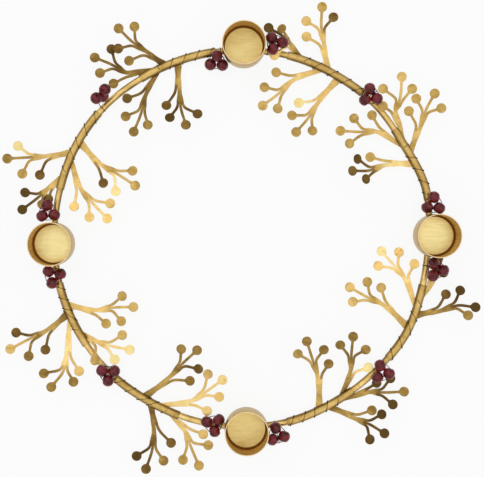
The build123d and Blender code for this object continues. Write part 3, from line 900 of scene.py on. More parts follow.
@dataclass(frozen=True)
class BrassFinish:
    """Brass sheet or rod that has been worked and handled, in the tone that is written on the piece, which
    paints its light and shade.
    """

    name: str
    unevenness: float
    cloud_scale: float
    edge_wear_and_shade: float = 0.5
    # The colour along its edges: brighter where worn, or darker as painted shade along a sheet's rims.
    edge: tuple[float, float, float] = (250, 222, 150)
    polish: tuple[float, float] = (0.24, 0.44)
    brown_roughness: float = 0.08
    metallic: tuple[float, float] = (1.0, 0.85)
    bump: float = 0.25

    def material(self, shared: SharedNodes) -> bpy.types.Material:
        """Build the material.

        Args:
            shared: The shader groups.

        Returns:
            The material.
        """
        surface = Surface(self.name, shared, self.cloud_scale)
        clouds, fine = surface.grain["Clouds"], surface.grain["Fine"]
        marks = {"Tone": surface.written(), "Clouds": clouds, "Fine": fine, "Unevenness": self.unevenness}
        shading_and_tarnish = surface.grouped(shared.shading_and_tarnish, marks)
        edge_wear_and_shade = surface.grouped(shared.edge_wear_and_shade, {"Fine": fine, "Strength": self.edge_wear_and_shade})
        browned = surface.maths("MULTIPLY", shading_and_tarnish["Brown"], self.brown_roughness)
        return surface.finish({
            "Base Color": surface.blend(edge_wear_and_shade["Wear_and_shade"], shading_and_tarnish["Colour"], srgb(*self.edge)),
            "Roughness": surface.maths("ADD", surface.polished(self.polish), browned),
            "Metallic": surface.spread(shading_and_tarnish["Brown"], *self.metallic),
        }, self.bump)


@dataclass(frozen=True)
class CupFinish:
    """Turned brass whose colour changes along the cup's profile: painted shade towards the edge of its
    floor, darkest in its corner and on the foot of its inner wall, and a painted highlight on its lip.

    It is less metallic on the wall inside, from the corner to where the lip turns out.
    """

    name: str = "cup_brass"
    cloud_scale: float = 60.0
    unevenness: float = 0.16
    metallic: tuple[float, float] = (1.0, 0.6)
    turning_out: tuple[float, float] = (0.75, 0.9)
    polish: tuple[float, float] = (0.28, 0.42)
    bump: float = 0.12

    def material(self, shared: SharedNodes) -> bpy.types.Material:
        """Build the material.

        Args:
            shared: The shader groups.

        Returns:
            The material.
        """
        surface = Surface(self.name, shared, self.cloud_scale)
        profile = surface.written()
        clouds = surface.maths("SUBTRACT", surface.grain["Clouds"], 0.5)
        place = surface.maths("ADD", profile, surface.maths("MULTIPLY", clouds, self.unevenness))
        bright, dull = self.metallic
        inside = surface.spread(profile, bright, dull, CupPlace.SHADE.value, CupPlace.CORNER.value)
        outside = surface.spread(profile, dull, bright, *self.turning_out)
        return surface.finish({
            "Base Color": surface.ramp(place, CUP_SHADES),
            "Roughness": surface.polished(self.polish),
            "Metallic": surface.maths("MAXIMUM", inside, outside),
        }, self.bump)


@dataclass(frozen=True)
class PlainMetalFinish:
    """Dark wire or braze: a metal with a colour, darker in patches that come and go at random. Above a
    given height those patches fade to a little, a painted highlight along a wire's top, and below it the
    wire is painted shade in the darker colour.
    """

    name: str
    colour: tuple[float, float, float]
    stain_and_shade: tuple[float, float, float]
    polish: tuple[float, float]
    highlit_above: float | None = None
    highlight_fade: float = 0.7 * MM
    stain_on_highlight: float = 0.5
    metallic: float = 0.9
    bump: float = 0.4

    def material(self, shared: SharedNodes) -> bpy.types.Material:
        """Build the material.

        Args:
            shared: The shader groups.

        Returns:
            The material.
        """
        surface = Surface(self.name, shared)
        stain_and_shade_mask = surface.spread(surface.grain["Clouds"], 0.0, 1.0, start=0.35, end=0.65)
        # A painted highlight along the top: above the height the darker colour fades to a little, and below
        # it the whole wire is painted shade in that colour.
        if self.highlit_above is not None:
            place = surface.add("ShaderNodeTexCoord").outputs["Object"]
            height = surface.add("ShaderNodeSeparateXYZ", {0: place}).outputs["Z"]
            lowest = self.highlit_above - self.highlight_fade
            shaded_below = surface.spread(height, 1.0, 0.0, start=lowest, end=self.highlit_above)
            left = surface.maths("MULTIPLY", stain_and_shade_mask, self.stain_on_highlight)
            stain_and_shade_mask = surface.maths("ADD", shaded_below, left, clamp=True)
        return surface.finish({
            "Base Color": surface.blend(stain_and_shade_mask, srgb(*self.colour), srgb(*self.stain_and_shade)),
            "Roughness": surface.polished(self.polish, "Fine"),
            "Metallic": self.metallic,
        }, self.bump)


@dataclass(frozen=True)
class GlassFinish:
    """Deep red glass with cloudy streaks."""

    name: str = "berry_glass"
    colour: tuple[float, float, float] = (140, 38, 46)
    deep: tuple[float, float, float] = (72, 12, 20)
    cloud_scale: float = 420.0
    polish: tuple[float, float] = (0.1, 0.24)
    bump: float = 0.2
    relief: float = 0.04 * MM

    def material(self, shared: SharedNodes) -> bpy.types.Material:
        """Build the material.

        Args:
            shared: The shader groups.

        Returns:
            The material.
        """
        surface = Surface(self.name, shared, self.cloud_scale)
        streaks = surface.spread(surface.grain["Clouds"], 0.0, 1.0, start=0.36, end=0.62)
        return surface.finish({
            "Base Color": surface.blend(streaks, srgb(*self.deep), srgb(*self.colour)),
            "Roughness": surface.polished(self.polish),
            "Transmission Weight": 0.25,
            "IOR": 1.52,
            "Specular IOR Level": 0.22,
            "Coat Weight": 0.12,
            "Coat Roughness": 0.08,
        }, self.bump, self.relief)


# The sub-assemblies


@dataclass
class RingRod:
    """The round rod, bent by hand to a closed ring."""

    radius: float = 1.75 * MM
    stations: int = 72
    sides: int = 24
    # The rod's tones: a painted highlight along its top, painted shade on its sides and underneath.
    highlight_tone: float = 0.22
    side_shade_tone: float = 0.75

    def build(self, finish: bpy.types.Material) -> None:
        """Make the rod and dress it.

        Args:
            finish: The rod's finish.
        """
        points = [PATH.point(360 * station / self.stations) for station in range(self.stations)]
        rod = wire("ring_rod", [(points, True)], self.radius, self.sides)
        layer = rod.data.attributes.new(TONE_LAYER, "FLOAT", "POINT")
        for vert, tone in zip(rod.data.vertices, layer.data):
            tone.value = highlight_tone(vert.co, self.radius, self.highlight_tone, self.side_shade_tone)
        finish_piece(rod, "ring_rod", finish)


@dataclass
class CandleCups:
    """The four cups, turned alike: thin straight walls on a dished floor with rounded corners."""

    sides: int = 96
    wall: float = 0.5 * MM
    floor: float = 0.8 * MM
    corner: float = 1.2 * MM
    foot: float = 0.9 * MM
    round_steps: int = 5
    lip: float = 0.12 * MM
    lip_steps: int = 2
    dish: float = 0.12 * MM
    dish_width: float = 3.5 * MM
    smooth_angle: float = 32
    # How far each cup's floor is painted towards the shaded colour, for the right, top, left and bottom
    # cups: painted shade, most on the top and bottom cups.
    floor_shade_shares: tuple[float, ...] = (0.03, 0.1, 0.0, 0.12)

    def choose(self, low: float, high: float, inner: float, outer: float, faces: bool) -> None:
        """Select the level faces, or the rings of edges, in one part of the cup.

        Args:
            low: The lowest height.
            high: The highest height.
            inner: The least distance from the axis, zero for a face that crosses it.
            outer: The greatest distance.
            faces: Whether faces are selected and not edges.
        """
        bpy.ops.mesh.select_mode(type="FACE" if faces else "EDGE")
        bpy.ops.mesh.select_all(action="DESELECT")
        work = edit_mesh()
        for item in work.faces if faces else work.edges:
            heights = [vert.co.z for vert in item.verts]
            reach = [math.hypot(vert.co.x, vert.co.y) for vert in item.verts]
            level = max(heights) - min(heights) < NEAR and low < min(heights) <= max(heights) < high
            if level and inner <= min(reach) <= max(reach) < outer:
                item.select_set(True)
        bmesh.update_edit_mesh(bpy.context.edit_object.data)

    def shape(self, radius: float, height: float) -> bpy.types.Object:
        """Turn one cup on the ring's middle.

        Args:
            radius: The cup's outer radius.
            height: Its height.

        Returns:
            The cup, standing at the origin.
        """
        leave_all()
        bpy.ops.mesh.primitive_cylinder_add(vertices=self.sides, radius=radius, depth=height,
                                            location=(0, 0, height / 2))
        cup = bpy.context.object
        bpy.ops.object.transform_apply()
        bpy.ops.object.mode_set(mode="EDIT")
        self.choose(height - NEAR, height + NEAR, 0, radius + NEAR, True)
        bpy.ops.mesh.inset(thickness=self.wall)
        bpy.ops.mesh.extrude_region_move(TRANSFORM_OT_translate={"value": (0, 0, self.floor - height)})
        bore = radius - self.wall
        self.choose(self.floor - NEAR, self.floor + NEAR, bore - NEAR, bore + NEAR, False)
        bpy.ops.mesh.bevel(offset=self.corner, segments=self.round_steps)
        self.choose(self.floor - NEAR, self.floor + NEAR, 0, bore, True)
        bpy.ops.mesh.inset(thickness=self.dish_width, depth=-self.dish)
        self.choose(-NEAR, NEAR, radius - NEAR, radius + NEAR, False)
        bpy.ops.mesh.bevel(offset=self.foot, segments=self.round_steps)
        self.choose(height - NEAR, height + NEAR, bore - NEAR, radius + NEAR, False)
        bpy.ops.mesh.bevel(offset=self.lip, segments=self.lip_steps)
        bpy.ops.object.mode_set(mode="OBJECT")
        return cup

    def profile(self, cup: bpy.types.Object, height: float, radius: float, floor_shade_share: float) -> None:
        """Write on a cup how far along its profile each place on it is, for its finish.

        Args:
            cup: The cup, standing at the origin.
            height: Its height.
            radius: Its outer radius.
            floor_shade_share: Where along the profile the middle of its floor counts as being.
        """
        bore = radius - self.wall
        corner, foot = CupPlace.CORNER.value, CupPlace.FOOT.value
        layer = cup.data.attributes.new(TONE_LAYER, "FLOAT", "POINT")
        for vert, share in zip(cup.data.vertices, layer.data):
            reach = math.hypot(vert.co.x, vert.co.y)
            up = vert.co.z
            if up > height - self.lip + NEAR:
                share.value = CupPlace.LIP.value
            elif reach > bore + NEAR or up < self.floor - self.dish - NEAR:
                share.value = CupPlace.OUTSIDE.value
            elif up > height - self.lip - NEAR:
                share.value = CupPlace.WALL.value
            elif up > self.floor + self.corner - NEAR:
                share.value = foot
            elif up > self.floor + NEAR:
                share.value = corner + (foot - corner) * (up - self.floor) / self.corner
            elif reach < bore - self.corner - NEAR:
                share.value = floor_shade_share
            else:
                share.value = CupPlace.FLOOR_EDGE.value

    def build(self, finish: bpy.types.Material) -> None:
        """Make the cups and dress them.

        Args:
            finish: The cups' finish.
        """
        lowest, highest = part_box(f"candle_cup_{CUP_NAMES[0]}")
        radius, height = (highest.x - lowest.x) / 2, highest.z - lowest.z
        turned = self.shape(radius, height)
        for name, floor_shade_share in zip(CUP_NAMES, self.floor_shade_shares):
            lowest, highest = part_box(f"candle_cup_{name}")
            cup = add_object(f"candle_cup_{name}", turned.data.copy())
            self.profile(cup, height, radius, floor_shade_share)
            centre = middle(lowest, highest)
            cup.data.transform(Matrix.Translation((centre.x, centre.y, lowest.z)))
            smooth(cup, self.smooth_angle)
            finish_piece(cup, f"candle_cup_{name}", finish)
        bpy.data.objects.remove(turned)


def dress_seats(finish: bpy.types.Material) -> None:
    """Dress the braze between each cup and the rod, which keeps its own shape."""
    for name in CUP_NAMES:
        seat = frame["nodes"][f"cup_seat_{name}"]
        for slot in seat.material_slots:
            slot.material = finish
        log.info("%s: dressed as it is", seat.name)


@dataclass
class SheetSizes:
    """The stamped sheet's sizes from the root of a twig to its discs, and how finely it is drawn."""

    sheet: float = 0.45 * MM
    stem_inside: float = 1.8 * MM
    stem_outside: float = 2.25 * MM
    root: float = 4.4 * MM
    trunk: float = 2.9 * MM
    crotch: float = 3.7 * MM
    neck: float = 2.4 * MM
    fork: float = 3.9 * MM
    limb: float = 1.5 * MM
    bow_share: float = 0.45
    disc: float = 5.3 * MM
    disc_sides: int = 24
    disc_rim: float = 0.45 * MM
    disc_dish: float = 0.05 * MM
    rows: int = 4
    weld: float = 0.02 * MM
    edge: float = 0.07 * MM
    edge_steps: int = 2
    edge_angle: float = 50
    smooth_angle: float = 40
    # How much lighter a trunk is painted at its crotch: a painted highlight.
    crotch_highlight: float = 0.2


SHEET = SheetSizes()


def mean_lift(first: float, last: float) -> float:
    """Give how steeply a limb climbs on the whole, most of the way at its last lift."""
    return (first + 3 * last) / 4


def bowed(start: Vector, heading: Vector, end: Vector, share: float) -> Vector:
    """Find a point on the bow that sheet follows on the plan.

    Args:
        start: Where the bow starts.
        heading: The level direction in which it leaves.
        end: Where it ends.
        share: How far along it the point is, from 0 to 1.

    Returns:
        The point.
    """
    control = start + heading * ((end - start).length * SHEET.bow_share)
    return start * (1 - share) ** 2 + control * (2 * share * (1 - share)) + end * share**2


class Twig:
    """One twig of a sprig: a trunk that splits into a shoot and a neck, and a fork of three limbs."""

    def __init__(self, row: tuple) -> None:
        """Read the twig's row of the table.

        Args:
            row: The twig's places, lifts and tones.
        """
        self.root, crotch, fork, shoot, *tips = (PATH.place(shares) for shares in row[:7])
        self.trunk_lift, self.neck_lift, self.shoot_lift, *self.tip_lifts = row[7]
        self.trunk_tone, self.shoot_tone, *self.tip_tones = tones(row[8])
        self.side = 1 if crotch.length > self.root.length else -1
        crotch = PATH.climbed(middle(*self.root_edge()), crotch, self.trunk_lift)
        fork = PATH.climbed(crotch, fork, self.neck_lift)
        shoot = PATH.climbed(crotch, shoot, mean_lift(self.trunk_lift, self.shoot_lift))
        self.tips = [flat(PATH.climbed(fork, tip, mean_lift(self.neck_lift, lift)))
                     for tip, lift in zip(tips, self.tip_lifts)]
        self.crotch, self.fork, self.shoot = flat(crotch), flat(fork), flat(shoot)

    def root_edge(self) -> tuple[Vector, Vector]:
        """Give the left and right ends of the twig's root, halfway into the stem's wall."""
        out = self.side * (SHEET.stem_outside - SHEET.sheet / 2)
        turn = self.side * PATH.turn(SHEET.root / 2)
        angle = polar_angle(self.root)
        left, right = (PATH.spot(angle + part).at(out, -SHEET.sheet / 2) for part in (turn, -turn))
        return left, right

    def clear_knee(self, knee: Vector, side: Vector) -> Vector:
        """Move the middle of the trunk out from the ring until its edge clears the rod.

        Args:
            knee: Where the middle would be.
            side: The direction across the trunk.

        Returns:
            Where it goes.
        """
        spot = PATH.spot(polar_angle(knee))
        outward = spot.outward * self.side
        offset = abs(flat(knee - spot.origin).dot(spot.outward))
        edge = offset - abs(side.dot(outward)) * (SHEET.trunk / 2)
        return knee + outward * max(SHEET.stem_inside - edge, 0)

    def draw_disc(self, centre: Vector, turned: Matrix, tone: float) -> list[Vector]:
        """Cut a disc, dished inside its rim.

        Args:
            centre: Its middle.
            turned: Its own directions: forward, to the left and out of it.
            tone: Its tone.

        Returns:
            The three places of its edge at the back, from which its limb is drawn.
        """
        radius = SHEET.disc / 2
        bpy.ops.mesh.primitive_circle_add(vertices=SHEET.disc_sides, radius=radius, fill_type="NGON",
                                          location=centre, rotation=turned.to_euler())
        first = min(vert.index for vert in edit_mesh().verts if vert.select)
        bpy.ops.mesh.inset(thickness=SHEET.disc_rim)
        bpy.ops.mesh.inset(thickness=SHEET.disc_rim * 2, depth=-SHEET.disc_dish)
        work = edit_mesh()
        write_tone(work.verts[first:], work, tone)
        chord = []
        for side in (-1, 0, 1):
            angle = math.pi + side * 2 * math.pi / SHEET.disc_sides
            chord.append(centre + turned @ Vector((radius * math.cos(angle), radius * math.sin(angle), 0)))
        return chord

    def draw_limb(self, hinge: tuple[Vector, Vector], heading: Vector, disc: Vector,
                  lifts: tuple[float, float], disc_tone: float) -> None:
        """Cut a disc and draw its limb back to the hinge that it leaves.

        Args:
            hinge: The hinge's left and right ends.
            heading: The level direction in which the limb leaves it.
            disc: The disc's middle on the plan.
            lifts: How steeply the sheet climbs before the hinge and at the disc, in degrees.
            disc_tone: The disc's tone.
        """
        limb_lift, disc_lift = sum(lifts) / 2, lifts[1]
        start = flat(middle(*hinge))
        knee = bowed(start, heading, disc, (1 - SHEET.disc / 2 / (disc - start).length) / 2)
        turn = heading_between(start, knee)
        facing = heading_between(knee, disc)
        side = across((turn + facing).normalized()) * (SHEET.limb / 2)
        knee_edge = raised(hinge, [knee + side, knee - side], turn, limb_lift)
        ahead = disc + facing * math.cos(math.radians(disc_lift))
        centre, ahead, left = raised(knee_edge, [disc, ahead, disc + across(facing)], facing, disc_lift)
        forward = (ahead - centre).normalized()
        normal = forward.cross(left - centre).normalized()
        turned = Matrix((forward, normal.cross(forward), normal)).transposed()
        chord = self.draw_disc(centre, turned, disc_tone)
        edges = [chord, spread(*knee_edge, (0, 1 / 2, 1)), spread(*hinge, (0, 1 / 2, 1))]
        rows = rails(edges, -forward, -climbing(heading, limb_lift))
        draw_out(rows, chord, disc_tone, (self.trunk_tone + disc_tone) / 2)

    def draw(self) -> None:
        """Draw the whole twig in the mesh that is open in edit mode."""
        root_edge = self.root_edge()
        foot = middle(*root_edge)
        heading = heading_between(foot, self.crotch)
        side = across(heading)
        knee = self.clear_knee(middle(flat(foot), self.crotch), side)
        knee += UP * (foot.z + (knee - flat(foot)).length * slope(self.trunk_lift))
        knee_edge = (knee + side * (SHEET.trunk / 2), knee - side * (SHEET.trunk / 2))

        # The crotch's edge is notched between the shoot's limb and the neck.
        shoot_side = 1 if side.dot(self.shoot - self.crotch) > 0 else -1
        half = side * (SHEET.crotch / 2)
        notch = self.crotch + side * ((SHEET.crotch / 2 - SHEET.limb) * shoot_side)
        crotch_edge = [self.crotch + half, notch, self.crotch - half]
        crotch_edge = raised(knee_edge, crotch_edge, heading, self.trunk_lift)
        shoot_hinge, neck_hinge = crotch_edge[:2], crotch_edge[1:]
        limb_share = SHEET.limb / SHEET.crotch
        columns = [0, limb_share / 2, *(limb_share + (1 - limb_share) * sixth for sixth in SIXTHS)]
        neck_columns = slice(2, None)
        if shoot_side < 0:
            shoot_hinge, neck_hinge = neck_hinge, shoot_hinge
            columns = [1 - column for column in reversed(columns)]
            neck_columns = slice(0, -2)

        edges = [spread(*edge, columns) for edge in (root_edge, knee_edge, crotch_edge[::2])]
        rows = rails(edges, heading, climbing(heading, self.trunk_lift))
        self.lay_first_rows(edges[0], rows[0])
        # The trunk is painted lighter towards the crotch, and the neck darkens again from it: a painted
        # highlight.
        crotch_highlight_tone = max(0, self.trunk_tone - SHEET.crotch_highlight)
        draw_out(rows[1:], rows[0], self.trunk_tone, crotch_highlight_tone)
        fork_row, onward = self.draw_neck(neck_hinge, rows[-1][neck_columns], heading, crotch_highlight_tone)
        lifts = (self.trunk_lift, self.shoot_lift)
        self.draw_limb(shoot_hinge, heading, self.shoot, lifts, self.shoot_tone)
        limbs = sorted(zip(self.tips, self.tip_lifts, self.tip_tones),
                       key=lambda limb: -across(onward).dot(heading_between(self.fork, limb[0])))
        for position, (tip, lift, tone) in enumerate(limbs):
            hinge = (fork_row[2 * position], fork_row[2 * position + 2])
            self.draw_limb(hinge, onward, tip, (self.neck_lift, lift), tone)

    def draw_neck(self, hinge: list[Vector], row: list[Vector], heading: Vector,
                  crotch_highlight_tone: float) -> tuple[list[Vector], Vector]:
        """Draw the neck from the crotch to the fork.

        Args:
            hinge: The left and right ends of its hinge at the crotch.
            row: The places of the trunk's vertices along that hinge.
            heading: The level direction in which it leaves the crotch.
            crotch_highlight_tone: The tone at the crotch.

        Returns:
            The places of the vertices along the fork's edge, and the level direction there.
        """
        start = flat(middle(*hinge))
        knee = bowed(start, heading, self.fork, 1 / 2)
        side = across(heading_between(start, self.fork)) * (SHEET.neck / 2)
        mean = (self.trunk_lift + self.neck_lift) / 2
        neck_edge = raised(hinge, [knee + side, knee - side], heading_between(start, knee), mean)
        onward = heading_between(knee, self.fork)
        side = across(onward) * (SHEET.fork / 2)
        fork_edge = raised(neck_edge, [self.fork + side, self.fork - side], onward, self.neck_lift)
        edges = [row, spread(*neck_edge, SIXTHS), spread(*fork_edge, SIXTHS)]
        rows = rails(edges, climbing(heading, self.trunk_lift), climbing(onward, self.neck_lift))
        draw_out(rows, row, crotch_highlight_tone, self.trunk_tone)
        return rows[-1], onward

    def lay_first_rows(self, first: list[Vector], second: list[Vector]) -> None:
        """Lay the strip of sheet that the trunk is drawn from.

        Args:
            first: The places of the row in the stem's wall.
            second: The places of the row beside it.
        """
        bpy.ops.mesh.primitive_grid_add(x_subdivisions=len(first) - 1, y_subdivisions=1, size=SHEET.root)
        work = edit_mesh()
        added = [vert for vert in work.verts if vert.select]
        added.sort(key=lambda vert: (round(vert.co.y, DIGITS), vert.co.x))
        for vert, place in zip(added, [*first, *second]):
            vert.co = place
        write_tone(added, work, self.trunk_tone)
        bmesh.update_edit_mesh(bpy.context.edit_object.data)

    def root_zone(self) -> tuple[float, float]:
        """Give the stretch of the stem's wall that the twig keeps a wire from crossing, in degrees."""
        angle = polar_angle(self.root)
        half = PATH.turn(SHEET.root / 2 + BINDING.radius * 2 + BINDING.gap)
        heading = heading_between(middle(*self.root_edge()), self.crotch)
        spot = PATH.spot(angle)
        lean = heading.dot(spot.along) / abs(heading.dot(spot.outward))
        extra = PATH.turn((SHEET.sheet / 2 + BINDING.gap + BINDING.radius * 2) * lean)
        return angle - half + min(extra, 0), angle + half + max(extra, 0)


@dataclass
class BindingSizes:
    """The wire that binds a sprig to the rod."""

    radius: float = 0.2 * MM
    gap: float = 0.05 * MM
    turns: int = 5
    overhang: float = 1.0 * MM


BINDING = BindingSizes()


@dataclass
class Sprig:
    """A stamped sprig and the wire that binds it: a channel folded over the rod, with its twigs."""

    name: str
    butt: float
    tip: float
    rows: list
    arc: tuple[float, float] = (-HALF_SIDE, 180 + HALF_SIDE)
    arc_sides: int = 20
    stem_step: float = 1.5
    # The stem's tones: a painted highlight along its top, painted shade on its sides.
    highlight_tone: float = 0.4
    side_shade_tone: float = Tone.BROWN.value
    twigs: list[Twig] = field(default_factory=list)

    def __post_init__(self) -> None:
        """Read the twigs."""
        self.twigs = [Twig(row) for row in self.rows]

    def draw_stem(self) -> None:
        """Fold the channel over the rod, from its butt to its tip, in the mesh in edit mode."""
        count = max(2, round((self.tip - self.butt) / self.stem_step))
        stations = [self.butt + (self.tip - self.butt) * step / count for step in range(count + 1)]
        low, high = (math.radians(angle) for angle in self.arc)
        radius = SHEET.stem_inside
        section = []
        for corner in range(self.arc_sides + 1):
            angle = low + (high - low) * corner / self.arc_sides
            section.append((radius * math.cos(angle), radius * math.sin(angle)))
        rows = [[PATH.spot(station).at(*place) for place in section] for station in stations]
        bpy.ops.mesh.primitive_circle_add(vertices=len(section), radius=radius, fill_type="NOTHING",
                                          location=PATH.point(self.butt))
        work = edit_mesh()
        ring = [vert for vert in work.verts if vert.select]
        for vert, place in zip(ring, rows[0]):
            vert.co = place
        work.edges.remove(work.edges.get((ring[-1], ring[0])))
        bmesh.update_edit_mesh(bpy.context.edit_object.data)
        draw_out(rows[1:], rows[0], self.highlight_tone, self.highlight_tone)
        bpy.ops.mesh.select_linked()
        work = edit_mesh()
        for vert in work.verts:
            write_tone([vert], work, highlight_tone(vert.co, radius, self.highlight_tone, self.side_shade_tone))
        face = next(face for face in work.faces if face.select)
        centre = PATH.spot(polar_angle(face.calc_center_median())).origin
        if face.normal.dot(face.calc_center_median() - centre) < 0:
            bpy.ops.mesh.flip_normals()

    def build(self, finish: bpy.types.Material) -> None:
        """Make the sprig and dress it.

        Args:
            finish: The sheet's finish.
        """
        mesh = bpy.data.meshes.new(f"sprig_{self.name}")
        mesh.attributes.new(TONE_LAYER, "FLOAT", "POINT")
        sprig = pick(add_object(mesh.name, mesh))
        bpy.ops.object.mode_set(mode="EDIT")
        bpy.ops.mesh.select_mode(type="EDGE")
        self.draw_stem()
        for twig in self.twigs:
            bpy.ops.mesh.select_mode(type="EDGE")
            twig.draw()
        bpy.ops.mesh.select_all(action="SELECT")
        bpy.ops.mesh.remove_doubles(threshold=SHEET.weld)
        bpy.ops.object.mode_set(mode="OBJECT")
        rounding = sprig.modifiers.new("rounding", "SUBSURF")
        rounding.levels = rounding.render_levels = 1
        wall = sprig.modifiers.new("wall", "SOLIDIFY")
        wall.thickness = SHEET.sheet
        wall.offset = 1
        wall.use_even_offset = True
        edge = sprig.modifiers.new("edge", "BEVEL")
        edge.width = SHEET.edge
        edge.segments = SHEET.edge_steps
        edge.limit_method = "ANGLE"
        edge.angle_limit = math.radians(SHEET.edge_angle)
        for modifier in ("rounding", "wall", "edge"):
            bpy.ops.object.modifier_apply(modifier=modifier)
        smooth(sprig, SHEET.smooth_angle)
        finish_piece(sprig, f"sprig_{self.name}", finish)

    def zones(self, side: int) -> list[tuple[float, float]]:
        """Find where on one side of the stem no wire can cross.

        Args:
            side: Plus one for the ring's outer side and minus one for its inner side.

        Returns:
            The stretches in degrees, with those that meet joined.
        """
        joined: list[tuple[float, float]] = []
        for start, end in sorted(twig.root_zone() for twig in self.twigs if twig.side == side):
            if joined and start < joined[-1][1]:
                start = joined.pop()[0]
            joined.append((start, end))
        return joined

    def bind(self, finish: bpy.types.Material) -> None:
        """Wind the wire round the sprig and the rod, between the twigs, and dress it.

        Args:
            finish: The wire's finish.
        """
        zones = {side: self.zones(side) for side in (1, -1)}
        start = self.butt + PATH.turn(BINDING.overhang)
        end = min(self.twigs[-1].root_zone()[0], self.tip)
        crossings = []
        for crossing in range(2 * BINDING.turns):
            angle = start + (end - start) * crossing / (2 * BINDING.turns - 1)
            for low, high in zones[1 - 2 * (crossing % 2)]:
                if low < angle < high:
                    angle = low if angle - low < high - angle else high
            crossings.append(angle)
        over_stem = SHEET.stem_outside + BINDING.gap + BINDING.radius
        under_rod = RingRod.radius + BINDING.gap + BINDING.radius
        points = []
        for crossing, (angle, ahead) in enumerate(zip(crossings, crossings[1:])):
            # A half turn passes four corners of an octagon: two straight up or down beside the
            # stem, then two at a slant, which are over it or, in every other half turn, under the rod.
            for step in range(4):
                corner = step + 4 * (crossing % 2)
                spot = PATH.spot(angle + (ahead - angle) * max(0, step - 1) / 3)
                points.append(spot.at(*octagon_corner(under_rod if corner > 5 else over_stem, corner)))
        binding = wire(f"binding_wire_{self.name}", [(points, False)], BINDING.radius)
        finish_piece(binding, f"binding_wire_{self.name}", finish)


